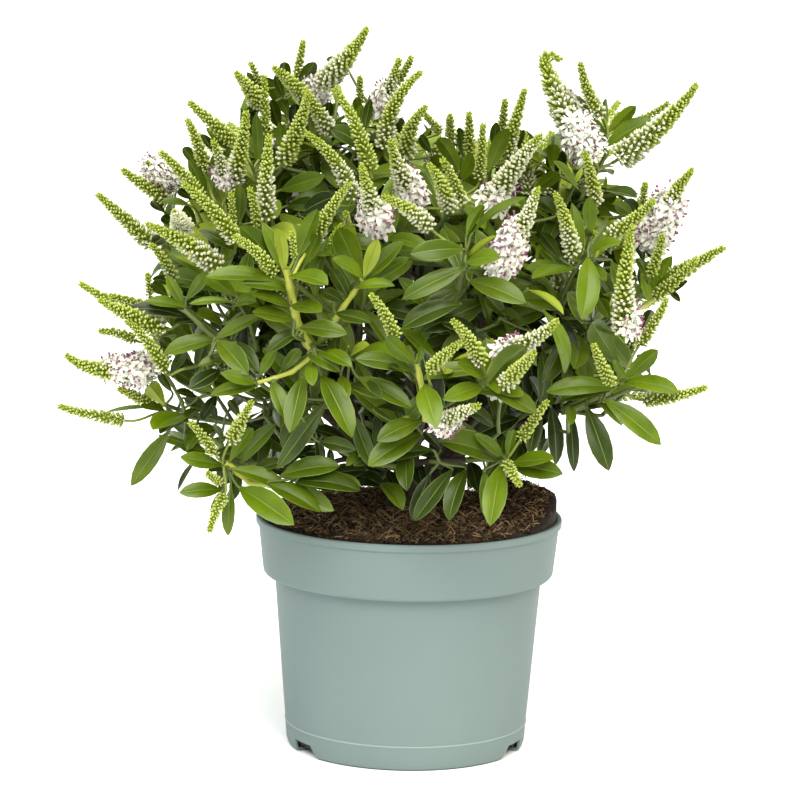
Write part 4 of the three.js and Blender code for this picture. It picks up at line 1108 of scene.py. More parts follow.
STALK_SIDES = 5


def petal_shape():
    """Four spreading petals at the end of a short tube."""
    points, quads = [], []
    for k in range(4):
        angle = math.pi / 2 * k
        out = np.array([math.cos(angle), math.sin(angle)])
        side = np.array([-math.sin(angle), math.cos(angle)])
        for distance, reach, half in PETAL_STATIONS:
            for way in (-1, 1):
                points.append((distance, *(out * reach + side * half * way)))
        for a in range(8 * k, 8 * k + 6, 2):
            quads.append((a, a + 2, a + 3, a + 1))
    return np.array(points), np.array(quads)


def stamen_shapes():
    """Two long threads, with a pollen sac at the end of each."""
    threads, sacs = Pile(), Pile()
    for way in (-1, 1):
        start, end = STAMEN_START * (1, way, way), STAMEN_END * (1, way, way)
        threads.add(*tube(np.stack([start, (start + end) / 2, end]), STAMEN_RADII, 3))
        sacs.add(POLLEN_SAC[0] + end, *POLLEN_SAC[1:])
    shapes = []
    for pile in (threads, sacs):
        points, faces = pile.joined()
        shapes.append((points, *faces))
    return shapes


PETALS = petal_shape()
THREADS, POLLEN_SACS = stamen_shapes()
FLOWER_FINISHES = {
    "stalks": "spike_stalk",
    "calyxes": "calyx",
    "lime_buds": "lime_bud",
    "green_buds": "green_bud",
    "cream_buds": "cream_bud",
    "petals": "petal",
    "threads": "stamen_thread",
    "pollen_sacs": "pollen_sac",
}


class Flowers:
    """The piles that all the flower spikes share."""

    def __init__(self, names):
        self.piles = {name: Pile() for name in names}

    def stalk(self, points, radii):
        self.piles["stalks"].add(*tube(points, radii, STALK_SIDES))

    def spike(self, line, width, open_share, cream_share, draw):
        """One spike along a line: buds in whorls, cream ones and open flowers towards its foot."""
        length = line.length
        scale = width / FULL_WIDTH
        fine = math.sqrt(scale)  # narrow spikes have smaller buds, and fewer in a whorl
        marks = np.linspace(0, length * SPIKE_SOLID, STALK_MARKS)
        self.stalk(line.at(marks), np.linspace(*SPIKE_RADII, STALK_MARKS) * fine)
        places, ways, shares = [], [], []
        at = length * STALK_SHARE
        turn = next(draw) * FIRST_TURN
        while at < length:
            share = (at / length - STALK_SHARE) / (1 - STALK_SHARE)
            count = max(LEAST_BUDS, round(part_way(WHORL_BUDS, share) * min(fine, FULLEST)))
            axis = line.way(at)
            across = unit(np.cross(axis, AT_A_SLANT))
            aside = np.cross(axis, across)
            angles = turn + 2 * np.pi * np.arange(count) / count
            out = np.cos(angles)[:, None] * across + np.sin(angles)[:, None] * aside
            tilt = np.radians(part_way(BUD_ANGLES, share**TAPER))
            tilt = tilt + (many_drawn(draw, count, 1) - 0.5) * BUD_ANGLE_SPREAD
            ways.append(axis * np.cos(tilt) + out * np.sin(tilt))
            heights = at + (many_drawn(draw, count) - 0.5) * BUD_SCATTER * fine
            places.append(line.at(np.clip(heights, 0, length)) + out * BUD_ROOT)
            shares.append(np.full(count, share))
            turn += math.pi / count + WHORL_TURN
            at += part_way(WHORL_STEPS, share) * (LEAST_STEP + (1 - LEAST_STEP) * fine)
        places, ways, shares = np.concatenate(places), np.concatenate(ways), np.concatenate(shares)
        sunny = (line.points[0] + line.points[-1]) / 2 - line.at(length / 2)
        sunny /= max(np.linalg.norm(sunny), 1)
        mixed = shares + (many_drawn(draw, len(shares)) - 0.5) * MIXING - ways @ sunny * SUNNY_LEAD
        opened = (mixed < open_share) & (open_share > 0)
        self.buds(places, ways, shares, mixed, scale, opened, cream_share)
        self.open_flowers(places[opened], ways[opened], scale, draw)

    def buds(self, places, ways, shares, mixed, scale, opened, cream_share):
        """A calyx at every place, and a cream, lime or green bud in those with no open flower."""
        along = shares**TAPER
        reach = scale * (1 - shares**3) + shares**3
        lengths = part_way(BUD_LENGTHS, along) * np.sqrt(reach)
        widths = part_way(BUD_WIDTHS, along) * np.sqrt(reach)
        roots = places + ways * (part_way(BUD_STALKS, along) * reach * np.sqrt(reach))[:, None]
        plant(self.piles["calyxes"], CALYX, roots, ways, lengths, widths)
        cream = ~opened & (mixed < cream_share) & (cream_share > 0)
        green = ~opened & ~cream & (mixed > TIP_SHARE)
        lime = ~opened & ~cream & ~green
        kinds = (("cream_buds", cream, CREAM_PLUMP), ("green_buds", green, 1.0), ("lime_buds", lime, 1.0))
        for name, chosen, plump in kinds:
            sizes = lengths[chosen] * plump, widths[chosen] * plump
            plant(self.piles[name], BUD, roots[chosen], ways[chosen], *sizes)

    def open_flowers(self, places, ways, scale, draw):
        """Layers of open flowers, the last with its ripe stamens."""
        if not len(places):
            return
        layers = FLOWER_HEIGHTS if scale > WIDE_SCALE else FLOWER_HEIGHTS[:2]
        for height in layers:
            spins = many_drawn(draw, len(places))
            leaning = unit(ways + FLOWER_STRAY * (many_drawn(draw, len(places), 3) - 0.5))
            roots = places + leaning * height * max(1, scale) ** HEIGHT_GROWTH
            turns = spins * FLOWER_TURN
            sizes = FLOWER_SIZE_DRAW[0] + FLOWER_SIZE_DRAW[1] * turns / FLOWER_TURN
            sizes = FLOWER_REACH * min(FLOWER_LARGEST, 0.5 + scale / 2) * sizes
            plant(self.piles["petals"], PETALS, roots, leaning, sizes, sizes, turns)
        ripe = turns < FLOWER_TURN * RIPE_SHARE
        for name, shape in (("threads", THREADS), ("pollen_sacs", POLLEN_SACS)):
            plant(self.piles[name], shape, roots[ripe], leaning[ripe], sizes[ripe], sizes[ripe], turns[ripe])


def spike_line(foot, tip, bow):
    """A spike's middle line, which bows to one side as seen from the front."""
    way = unit(tip - foot)
    right = unit(np.cross([0, 1, 0], way)) * bow
    length = np.linalg.norm(tip - foot)
    near, far = foot + way * length * SPIKE_HANDLES[0], tip - way * length * SPIKE_HANDLES[1]
    return Curve(foot, near + right, far + right, tip, steps=32)


def foot_stalk(wood, line):
    """The bare stalk from the nearest shoot to a spike's foot."""
    foot, way = line.points[0], line.way(0)
    shoot, start, at = wood.spring(foot - way * STALK_LENGTH)
    return bent_line(start, shoot.line.way(at), foot, way, STALK_HANDLES, steps=10)


# ---- Materials ----

TONE_SHARE = 0.54  # the studio is this much brighter than plain daylight on a white wall
PETAL_TONES = ((0.66, 0.645, 0.54, 1.0), (0.69, 0.675, 0.61, 1.0))
POT_PATTERN = {"patch": 14, "grain": 1500, "relief": 0.00004, "specular": 0.08}
LEAF_PATTERN = {"patch": 48, "relief": 0.00014, "spread": 0.36, "specular": 0.25}

# Each finish: its two tones in the picture in steps of 0 to 255, roughness, and how its pattern differs.
FINISHES = {
    "pot_plastic": ((139, 157, 155), (145, 163, 161), 0.5, POT_PATTERN),
    "pot_line": ((172, 188, 184), (172, 188, 184), 0.5, {"specular": 0.2}),
    "compost": ((35, 23, 12), (63, 43, 24), 0.95, {"patch": 420, "grain": 1300, "relief": 0.0012}),
    "crumb_dark": ((40, 27, 15), (64, 44, 26), 0.95, {"patch": 600, "relief": 0.0006}),
    "crumb_brown": ((78, 54, 31), (108, 79, 48), 0.95, {"patch": 600, "relief": 0.0006}),
    "fibre_brown": ((112, 80, 48), (140, 104, 66), 0.9, {"patch": 300}),
    "fibre_tan": ((184, 148, 98), (212, 178, 128), 0.9, {"patch": 300}),
    "bark": ((58, 46, 32), (82, 67, 47), 0.9, {"patch": 160, "grain": 700, "relief": 0.0006}),
    "young_wood": ((96, 115, 40), (118, 135, 54), 0.55, {}),
    "yellow_wood": ((192, 202, 58), (210, 216, 86), 0.4, {"patch": 120}),
    "leaf_young": ((150, 168, 36), (179, 195, 66), 0.3, LEAF_PATTERN),
    "leaf_fresh": ((91, 118, 4), (120, 145, 17), 0.3, LEAF_PATTERN),
    "leaf_green": ((79, 103, 6), (108, 130, 21), 0.3, LEAF_PATTERN),
    # deep and old: the older leaves' own darker greens, which also serve as painted shade on leaves in the
    # crown's recesses
    "leaf_deep": ((53, 73, 8), (78, 98, 21), 0.3, LEAF_PATTERN),
    "leaf_old": ((33, 47, 11), (51, 67, 24), 0.3, LEAF_PATTERN),
    "leaf_margin": ((112, 136, 34), (142, 163, 66), 0.45, {"patch": 60, "specular": 0.3}),
    "spike_stalk": ((144, 163, 46), (164, 180, 64), 0.5, {}),
    "calyx": ((147, 172, 24), (169, 190, 40), 0.5, {"patch": 400, "specular": 0.3}),
    "lime_bud": ((208, 224, 98), (234, 243, 146), 0.42, {"patch": 500, "specular": 0.3}),
    "green_bud": ((170, 191, 50), (198, 213, 90), 0.45, {"patch": 500, "specular": 0.3}),
    "cream_bud": ((250, 252, 190), (255, 255, 230), 0.45, {"patch": 500, "specular": 0.3}),
    "stamen_thread": ((246, 238, 236), (246, 238, 236), 0.5, {}),
    "pollen_sac": ((152, 66, 122), (186, 110, 154), 0.55, {"patch": 300}),
}


def tone(red, green, blue):
    """A colour as it shows in the picture, in steps of 0 to 255, as the base colour that gives it here."""
    steps = (red, green, blue)
    linear = [((step / 255 + 0.055) / 1.055) ** 2.4 if step > 10 else step / 3294 for step in steps]
    return (*[min(1, TONE_SHARE * value) for value in linear], 1.0)


def node_of(tree, kind, **values):
    node = tree.nodes.new(kind)
    for name, value in values.items():
        node.inputs[name].default_value = value
    return node


def link(tree, *pairs):
    """Joins sockets, each pair given as a node and its output, then a node and its input."""
    for start, output, end, socket in pairs:
        tree.links.new(start.outputs[output], end.inputs[socket])


def natural(name, tones, roughness, *, patch=40.0, grain=900.0, relief=0.0001, spread=0.5, specular=0.5):
    """A material whose colour drifts between two tones in patches, with a fine grain in its relief."""
    material = bpy.data.materials.new(name)
    material.use_nodes = True
    tree = material.node_tree
    shader = tree.nodes["Principled BSDF"]
    shader.inputs["Roughness"].default_value = roughness
    shader.inputs["Specular IOR Level"].default_value = specular
    place = node_of(tree, "ShaderNodeTexCoord")
    patches = node_of(tree, "ShaderNodeTexNoise", Scale=patch, Detail=3.0)
    ramp = node_of(tree, "ShaderNodeValToRGB")
    for element, colour, way in zip(ramp.color_ramp.elements, tones, (-1, 1)):
        element.position = 0.5 + way * spread / 2
        element.color = colour
    grains = node_of(tree, "ShaderNodeTexNoise", Scale=grain, Detail=2.0)
    bump = node_of(tree, "ShaderNodeBump", Strength=0.6, Distance=relief)
    link(
        tree,
        (place, "Object", patches, "Vector"),
        (patches, "Fac", ramp, "Fac"),
        (ramp, "Color", shader, "Base Color"),
        (place, "Object", grains, "Vector"),
        (grains, "Fac", bump, "Height"),
        (bump, "Normal", shader, "Normal"),
    )
    return material


made_finishes = {}


def finish(name):
    """The material of a finish, made once."""
    if name not in made_finishes:
        dark, light, roughness, pattern = FINISHES[name]
        made_finishes[name] = natural(name, (tone(*dark), tone(*light)), roughness, **pattern)
    return made_finishes[name]


# ---- Pot ----

POT_SEGMENTS = 128
# Radius and height of each ring of the wall, from the underside up the outside and down the inside.
POT_PROFILE = (
    (62.0, 0.0), (70.6, 0.0), (73.4, 0.9), (74.5, 4.0), (75.3, 14.9), (75.6, 15.1), (75.6, 15.7),
    (75.3, 15.9), (83.0, 107.8), (83.2, 109.2), (84.6, 108.6), (89.2, 109.0), (90.1, 110.2), (90.4, 112.2),
    (93.4, 139.6), (94.9, 140.2), (95.0, 140.6), (95.0, 143.6), (94.5, 144.4), (93.6, POT_HEIGHT),
    (92.4, 144.2), (91.7, 143.2), (88.5, 112.3), (81.4, 110.0), (72.6, 2.0), (30.0, 2.0),
)
POT_SMOOTHING = math.radians(24)
LINE_HEIGHTS = (14.8, 16.0)  # the raised line round the foot of the wall is between these
LINE_RADIUS = 75.3  # and beyond this
NOTCHES = ((94, 1), (213, 1), (334, -1))  # heading of each drain slot, and the side on which it slants
NOTCH_WIDTH = 22
NOTCH_HEIGHT = 8
NOTCH_SLANT = 4
NOTCH_INNER_RADIUS = 62
NOTCH_DEPTH = 26


def deselect():
    if bpy.context.mode != "OBJECT":
        bpy.ops.object.mode_set(mode="OBJECT")
    bpy.ops.object.select_all(action="DESELECT")


def apply_all(piece):
    deselect()
    piece.select_set(True)
    bpy.context.view_layer.objects.active = piece
    bpy.ops.object.transform_apply(location=True, rotation=True, scale=True)
    for modifier in list(piece.modifiers):
        bpy.ops.object.modifier_apply(modifier=modifier.name)


def ring_start(name, segments, radius, height):
    """A plain circle of edges, as the selected start of a turned shape."""
    deselect()
    place = (0, 0, height * MM)
    bpy.ops.mesh.primitive_circle_add(vertices=segments, radius=radius * MM, location=place)
    piece = bpy.context.object
    piece.name = name
    bpy.ops.object.mode_set(mode="EDIT")
    bpy.ops.mesh.select_all(action="SELECT")
    return piece


def next_ring(rise, height, share, draw_out=bpy.ops.mesh.extrude_edges_move):
    """Draws the selected ring out to another height and width."""
    draw_out(TRANSFORM_OT_translate={"value": (0, 0, rise * MM)})
    bpy.ops.transform.resize(value=(share, share, 1), center_override=(0, 0, height * MM))


def turn_outwards():
    """Turns the faces of the piece outwards, and leaves edit mode."""
    bpy.ops.mesh.select_all(action="SELECT")
    bpy.ops.mesh.normals_make_consistent(inside=False)
    bpy.ops.object.mode_set(mode="OBJECT")


def ring_wall(name, profile, segments):
    """A turned wall: a circle drawn out ring by ring, and closed at both ends."""
    piece = ring_start(name, segments, *profile[0])
    for (radius, level), (wider, higher) in zip(profile, profile[1:]):
        next_ring(higher - level, higher, wider / radius, bpy.ops.mesh.extrude_region_move)
    bpy.ops.mesh.edge_face_add()
    bpy.ops.mesh.select_all(action="SELECT")
    bpy.ops.mesh.fill_holes(sides=0)
    turn_outwards()
    return piece


def corners_of(piece):
    """The places of a mesh's corners, in millimetres."""
    places = np.empty(len(piece.data.vertices) * 3)
    piece.data.vertices.foreach_get("co", places)
    return places.reshape(-1, 3) / MM


def move_corners(piece, places):
    piece.data.vertices.foreach_set("co", (places * MM).ravel())


def notch_cutter(degrees, way):
    """A wedge that cuts one drain slot: upright on one side, slanted on the other."""
    deselect()
    middle = heading(degrees) * (NOTCH_INNER_RADIUS + NOTCH_DEPTH / 2)
    bpy.ops.mesh.primitive_cube_add(size=MM)
    cutter = bpy.context.object
    for corner in cutter.data.vertices:
        along, across, above = corner.co / MM
        slant = -NOTCH_SLANT * way * (2 * above) if across * way > 0 else 0
        reach = along * NOTCH_DEPTH, across * NOTCH_WIDTH + slant, above * (NOTCH_HEIGHT + 2)
        corner.co = Vector(reach) * MM
    cutter.rotation_euler.z = math.radians(degrees)
    cutter.location = Vector(middle) * MM + Vector((0, 0, (NOTCH_HEIGHT / 2 - 1) * MM))
    return cutter


def pot():
    """The pot's wall and floor, with its drain slots cut and its raised line picked out."""
    piece = ring_wall("pot_wall", POT_PROFILE, POT_SEGMENTS)
    cutters = [notch_cutter(degrees, way) for degrees, way in NOTCHES]
    for cutter in cutters:
        cut = piece.modifiers.new("slot", "BOOLEAN")
        cut.object = cutter
        cut.operation = "DIFFERENCE"
        cut.solver = "EXACT"
    apply_all(piece)
    for cutter in cutters:
        bpy.data.objects.remove(cutter)
    bpy.ops.object.shade_smooth_by_angle(angle=POT_SMOOTHING)
    finished(piece, finish("pot_plastic"), "pot", "pot")
    piece.data.materials.append(finish("pot_line"))
    for face in piece.data.polygons:
        middle = face.center / MM
        level = LINE_HEIGHTS[0] < middle.z < LINE_HEIGHTS[1]
        if level and math.hypot(middle.x, middle.y) > LINE_RADIUS:
            face.material_index = 1


# ---- Compost ----

SOIL_SEGMENTS = 144
SOIL_RINGS = 46
SOIL_WALL = COLLAR_FOOT_RADIUS + 1.2
SOIL_RISE = 3.0
EDGE_POWER = 150  # how sharply the heap ends at the wall
RIM_HEAP_RADIUS = 88
RIM_HEAP_HEADING = 7  # degrees
RIM_HEAP_SPREAD = 26  # degrees
RIM_HEAP_HEIGHT = 14
RIM_HEAP_WIDTH = 21
RIM_HEAP_SPILL = 0.022  # share of the radius by which the heap leans out over the rim
RIM_HEAP_OVERHANG = 8  # over the rim, where it leans out in full
SOIL_BODY = ((88.0, 112.6), (80.9, 109.6), (72.1, 2.6))  # radius and height down the inside of the pot
LUMP_SIZE = 0.006  # metres, as is the next one
LUMP_HEIGHT = 0.006
CRUMB = spun(((-0.5, 0.5), (0.3, 1.0), (0.9, 0)), 4)
CRUMB_COUNT = 1800  # of each colour, as of the fibres
CRUMB_SIZES = (0.7, 2.2)
FIBRE_COUNT = 2100
FIBRE_LENGTHS = (2.5, 7)
FIBRE_RADII = (0.16, 0.26)
FIBRE_LIFT = 0.4
LITTER_ROOM = 3  # between litter and the wall
FIBRE_ROOM = 5  # and at a fibre's start


def compost_height(x, y):
    """The lie of the compost, which is heaped against the rim on the right."""
    radius = np.hypot(x, y)
    inwards = (radius - RIM_HEAP_RADIUS) / RIM_HEAP_WIDTH
    round_rim = (np.degrees(np.arctan2(y, x)) - RIM_HEAP_HEADING) / RIM_HEAP_SPREAD
    edge = np.maximum(0, 1 - (radius / SOIL_WALL) ** EDGE_POWER)
    return soil_height(x, y) + SOIL_RISE + RIM_HEAP_HEIGHT * np.exp(-(inwards**2) - round_rim**2) * edge


def compost():
    """The compost, crumbly on top, which fills the pot down to its floor."""
    piece = ring_start("compost_bed", SOIL_SEGMENTS, SOIL_WALL, 0)
    for ring in range(SOIL_RINGS, 1, -1):
        next_ring(0, 0, (ring - 1) / ring)
    bpy.ops.mesh.edge_face_add()
    bpy.ops.object.mode_set(mode="OBJECT")
    places = corners_of(piece)
    places[:, 2] = compost_height(places[:, 0], places[:, 1])
    over_rim = np.clip((places[:, 2] - POT_HEIGHT) / RIM_HEAP_OVERHANG, 0, 1)
    places[:, :2] *= (1 + RIM_HEAP_SPILL * over_rim)[:, None]
    move_corners(piece, places)
    rough = bpy.data.textures.new("crumbly", "CLOUDS")
    rough.noise_scale = LUMP_SIZE
    rough.noise_depth = 4
    lumps = piece.modifiers.new("lumps", "DISPLACE")
    lumps.texture = rough
    lumps.direction = "Z"
    lumps.strength = LUMP_HEIGHT
    lumps.mid_level = 0.5
    apply_all(piece)
    bpy.ops.object.mode_set(mode="EDIT")
    bpy.ops.mesh.select_all(action="DESELECT")
    bpy.ops.mesh.select_non_manifold()
    radius, height = SOIL_WALL, SOIL_EDGE_HEIGHT
    for narrower, lower in SOIL_BODY:
        next_ring(lower - height, lower, narrower / radius)
        radius, height = narrower, lower
    bpy.ops.mesh.edge_face_add()
    turn_outwards()
    bpy.ops.object.shade_smooth()
    finished(piece, finish("compost"), "compost", "soil")


def fibre(draw):
    """The points of one bent fibre that lies on the compost."""
    radius, angle = math.sqrt(next(draw)) * (SOIL_WALL - FIBRE_ROOM), next(draw) * 2 * math.pi
    start = np.array([radius * math.cos(angle), radius * math.sin(angle), 0])
    length = FIBRE_LENGTHS[0] + FIBRE_LENGTHS[1] * next(draw) ** 2
    end = start + (heading(next(draw) * 360) + UP * (next(draw) - 0.1) * 0.9) * length
    bend = heading(next(draw) * 360) * length * 0.35 + UP * length * 0.3 * next(draw)
    points = Curve(start, start + bend, end + bend * 0.6, end, steps=3).points
    points[:, 2] += compost_height(points[:, 0], points[:, 1]) + FIBRE_LIFT
    return points[np.hypot(points[:, 0], points[:, 1]) < SOIL_WALL - LITTER_ROOM]


def compost_litter(draw):
    """Crumbs and fibres strewn over the compost."""
    for k, name in enumerate(("crumb_dark", "crumb_brown")):
        draws = many_drawn(draw, CRUMB_COUNT, 7)
        radius, angle = np.sqrt(draws[:, 0]) * (SOIL_WALL - LITTER_ROOM), draws[:, 1] * 2 * np.pi
        x, y = radius * np.cos(angle), radius * np.sin(angle)
        sizes = CRUMB_SIZES[0] + CRUMB_SIZES[1] * draws[:, 2] ** 3
        roots = np.stack([x, y, compost_height(x, y) + sizes * 0.3], 1)
        pile = Pile()
        plant(pile, CRUMB, roots, draws[:, 3:6] - 0.5, sizes * (0.8 + draws[:, 6]), sizes)
        pile.pieces(f"compost_crumbs_{k}", finish(name), "compost")
    for k, name in enumerate(("fibre_brown", "fibre_tan")):
        pile = Pile()
        for _ in range(FIBRE_COUNT):
            points = fibre(draw)
            if len(points) > 2:
                pile.add(*tube(points, np.full(len(points), drawn(draw, *FIBRE_RADII)), 3))
        pile.pieces(f"compost_fibres_{k}", finish(name), "compost")


# ---- Woody foot, limbs and twigs ----

FOOT_PROFILE = ((19.5, 0), (17.6, 3.5), (14.6, 8), (13.2, 13), (11.4, 16.2), (7.0, 17.8), (2.0, 18.4))
FOOT_SEGMENTS = 70
FOOT_LOBES = 7
FOOT_RIDGES = 23
LOBE_DEPTH = 0.09
RIDGE_DEPTH = 0.02
BARK_STEP = 1.4
LIMB_SIDES = 10  # of the round limbs and stems
SCAR_PLACE = 4.2
SCAR_LENGTH = 0.7
SCAR_SWELL = 0.13
LONG_WAVES = (0.04, 1.7)  # the bark's unevenness: height as a share of the radius, and turns per length
SHORT_WAVES = (0.03, 4.1)
NODE_SPACING = 8.5  # between the leaf pairs of old, and so between their scars
GREEN_LENGTH = 52  # of a shoot, from its tip
TWIG_MARKS = 22
TWIG_SIDES = 6
OLD_TWIG_SWELL = 1.02
NODE_SWELL = 0.16
NODE_LENGTH = 1.2
BARK_LAP = 2  # by which brown and green wood run past each other
STEM_MARKS = 8  # from one given spot of a front stem to the next
STEM_TAPER = (0.85, 1.1)  # from its tip to its foot
LEAF_TWIG_RADII = (1.0, 0.75)
STEM_SWELL = 0.22  # of the front stems at their leaf pairs
TWIG_SAG = 0.08
LEAST_TWIG = 1.5  # a front leaf nearer to its shoot than this needs no twig


def woody_foot():
    """The lobed foot of the plant, flaring on to the compost."""
    base = SOIL_TOP - 1
    profile = [(radius, base + height) for radius, height in FOOT_PROFILE]
    piece = ring_wall("woody_foot_bark", profile, FOOT_SEGMENTS)
    places = corners_of(piece)
    low = np.clip(1 - (places[:, 2] - base) / FOOT_HEIGHT, 0, 1)
    angle = np.arctan2(places[:, 1], places[:, 0])
    ridges = RIDGE_DEPTH * np.cos(FOOT_RIDGES * angle + places[:, 2])
    places[:, :2] *= (1 + LOBE_DEPTH * low * np.cos(FOOT_LOBES * angle) + ridges)[:, None]
    move_corners(piece, places)
    apply_all(piece)
    bpy.ops.object.shade_smooth()
    finished(piece, finish("bark"), "bark", "woody_foot")


def bark_radii(marks, foot_radius, tip_radius, phase):
    """A limb's radius with the ring scars of old leaf pairs and a fine unevenness."""
    radii = np.linspace(foot_radius, tip_radius, len(marks))
    scar = np.exp(-(((marks + phase) % NODE_SPACING - SCAR_PLACE) / SCAR_LENGTH) ** 2)
    long_waves = LONG_WAVES[0] * np.sin(marks * LONG_WAVES[1] + phase)
    return radii * (1 + SCAR_SWELL * scar + long_waves + SHORT_WAVES[0] * np.sin(marks * SHORT_WAVES[1]))


def limb_bark():
    """All stems and boughs, from their feet to the start of the foliage."""
    pile = Pile()
    for limb in LIMBS:
        marks = np.arange(0, limb.bough_end + 3, BARK_STEP)
        radii = bark_radii(marks, *limb.radii, 3.0 * limb.index)
        pile.add(*tube(limb.line.at(marks), radii, LIMB_SIDES))
    pieces = pile.pieces("limb_bark", finish("bark"), "bark")
    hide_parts(*[limb.node for limb in LIMBS])


def twig_wood(shoots):
    """The leafy shoots' own wood: brown inside the crown, green towards the tips."""
    young, old = Pile(), Pile()
    for shoot in reversed(shoots):
        if shoot.reach and shoot.parent:
            shoot.parent.bear(shoot.foot)
    for shoot in shoots:
        if shoot.reach <= shoot.bare:
            continue
        change = max(shoot.bare, shoot.line.length - GREEN_LENGTH)
        marks = np.linspace(shoot.bare, shoot.reach, TWIG_MARKS)
        radii = np.interp(marks, [shoot.bare, shoot.line.length], shoot.radii)
        bark = marks <= change + BARK_LAP
        if bark.sum() > 1:
            old.add(*tube(shoot.line.at(marks[bark]), radii[bark] * OLD_TWIG_SWELL, TWIG_SIDES))
        green = marks >= change
        if green.sum() > 1:
            past_node = (shoot.line.length - marks[green]) % NODE_SPACING
            nodes = 1 + NODE_SWELL * np.exp(-((past_node / NODE_LENGTH) ** 2))
            young.add(*tube(shoot.line.at(marks[green]), radii[green] * nodes, TWIG_SIDES))
    young.pieces("young_twigs", finish("young_wood"), "foliage")
    old.pieces("old_twigs", finish("bark"), "bark")


def front_stems():
    """The green stems that show between the leaves, swollen where the leaf pairs sit."""
    piles = {"green": Pile(), "yellow": Pile()}
    for spots, near, far, radius, colour in FRONT_STEMS:
        depths = np.linspace(near, far, len(spots))
        places = np.array([place_seen(u, v, y) for (u, v), y in zip(spots, depths)])
        marks = np.linspace(0, len(spots) - 1, STEM_MARKS * len(spots))
        points = np.stack([np.interp(marks, np.arange(len(spots)), column) for column in places.T], -1)
        swell = 1 + STEM_SWELL * np.cos(np.pi * marks) ** 8
        radii = np.linspace(*STEM_TAPER, len(marks)) * radius * swell
        piles[colour].add(*tube(points, radii, LIMB_SIDES))
    piles["green"].pieces("front_stems_green", finish("young_wood"), "foliage")
    piles["yellow"].pieces("front_stems_yellow", finish("yellow_wood"), "foliage")


def leaf_twigs(members, wood):
    """A short twig from the nearest shoot or bough to each of the front leaves that sits off its shoot."""
    pile = Pile()
    for leaf in members:
        _, foot, _ = wood.spring(leaf["root"])
        span = np.linalg.norm(leaf["root"] - foot)
        if span > LEAST_TWIG:
            middle = (foot + leaf["root"]) / 2 - UP * span * TWIG_SAG
            line = Curve(foot, middle, leaf["root"] - leaf["along"] * span * 0.25, leaf["root"], steps=8)
            pile.add(*tube(line.points, np.linspace(*LEAF_TWIG_RADII, len(line.points)), STALK_SIDES))
    pile.pieces("leaf_twigs", finish("young_wood"), "foliage")


# ---- The crown's leaves and flowers ----

FLOWERING_SHARE = 0.8  # of the shoots that the front spikes leave bare
TWO_SPIKES = 0.5  # a shoot whose draw is under this has two spikes
THREE_SPIKES = 0.14  # and under this three
LOWEST_FLOWERING = 215
FRONT_CLEARANCE = 38  # from a front spike's foot, to shoots that then bear none
BACK_LIMIT = 194  # of the tips of spikes
SPIKE_BACK = 7  # from a shoot's tip back to the foot of its spikes
SPIKE_ASIDE_DRAW = (0.35, 0.4)
SPIKE_UP = 0.25
SPIKE_LENGTH_DRAW = (34, 30)
SPIKE_BOW = 3
SPIKE_WIDTHS = (9, 6)  # least, and what the ripest have more
OPEN_FROM = 0.75  # ripeness from which flowers are open
CREAM_SHARES = (0.2, 0.4)
SPIKE_SLACK = 7  # spots by which a spike may pass the edge of the leaves


def leaf_pieces(leaves):
    """The blades of each tint, and the pale margins and midribs of all."""
    margins = Pile()
    pieces = []
    for tint, members in leaves.items():
        blades = Pile()
        for leaf in members:
            points = leaf_points(leaf)
            blades.add(points, BLADE_FACES)
            margins.add(points, PALE_FACES)
        pieces += blades.pieces("leaves_" + tint, finish("leaf_" + tint), "foliage")
    margins.pieces("leaf_margins", finish("leaf_margin"), "foliage")
    return pieces


def rule_spikes(shoots, front, cover, draw):
    """Spikes at the tips of the other shoots, one to three each, where they hide nothing at the front."""
    feet = np.array([line.points[0] for line, *_ in front])
    lines = []
    for shoot in shoots:
        chance = next(draw)
        if not shoot.leafy or chance > FLOWERING_SHARE or shoot.tip[2] < LOWEST_FLOWERING:
            continue
        if np.linalg.norm(feet - shoot.tip, axis=1).min() < FRONT_CLEARANCE:
            continue
        axis = shoot.line.way(shoot.line.length)
        for side in (1, -1, 0)[: 1 + (chance < TWO_SPIKES) + (chance < THREE_SPIKES)]:
            way = unit(axis + shoot.side * side * drawn(draw, *SPIKE_ASIDE_DRAW) + UP * SPIKE_UP)
            foot = shoot.tip - axis * SPIKE_BACK
            tip = foot + way * drawn(draw, *SPIKE_LENGTH_DRAW)
            ripe = next(draw)
            line = spike_line(foot, tip, SPIKE_BOW * (ripe - 0.5))
            if not in_leaf_edge([tip], SPIKE_SLACK) or tip[1] >= BACK_LIMIT:
                continue
            if not cover.hidden_by(line.points[::8]):
                width = SPIKE_WIDTHS[0] + SPIKE_WIDTHS[1] * ripe
                cream = CREAM_SHARES[0] + CREAM_SHARES[1] * ripe
                lines.append((line, width, max(0, ripe - OPEN_FROM) * 2, cream))
                shoot.bear(shoot.line.length - SPIKE_BACK)
    return lines


def front_spikes():
    """The spikes that show at the front, as lines with their widths and shares of flower and cream bud."""
    spikes = []
    for foot_u, foot_v, tip_u, tip_v, y, width, open_share, cream_share, bow in FRONT_SPIKES:
        foot = place_seen(foot_u, foot_v, y)
        seen = np.linalg.norm(place_seen(tip_u, tip_v, y) - foot)
        lean = SPIKE_LEAN * math.sqrt(max((width * SPIKE_SLENDERNESS) ** 2 - seen**2, 0)) + LEAST_LEAN
        tip = place_seen(tip_u, tip_v, max(y - lean, FRONT_LIMIT))
        spikes.append((spike_line(foot, tip, bow), width, open_share, cream_share))
    hook = [place_seen(u, v, y) for u, v, y in HOOKED_SPIKE]
    spikes.append((Curve(*hook, steps=32), HOOKED_WIDTH, *HOOKED_SHARES))
    return spikes


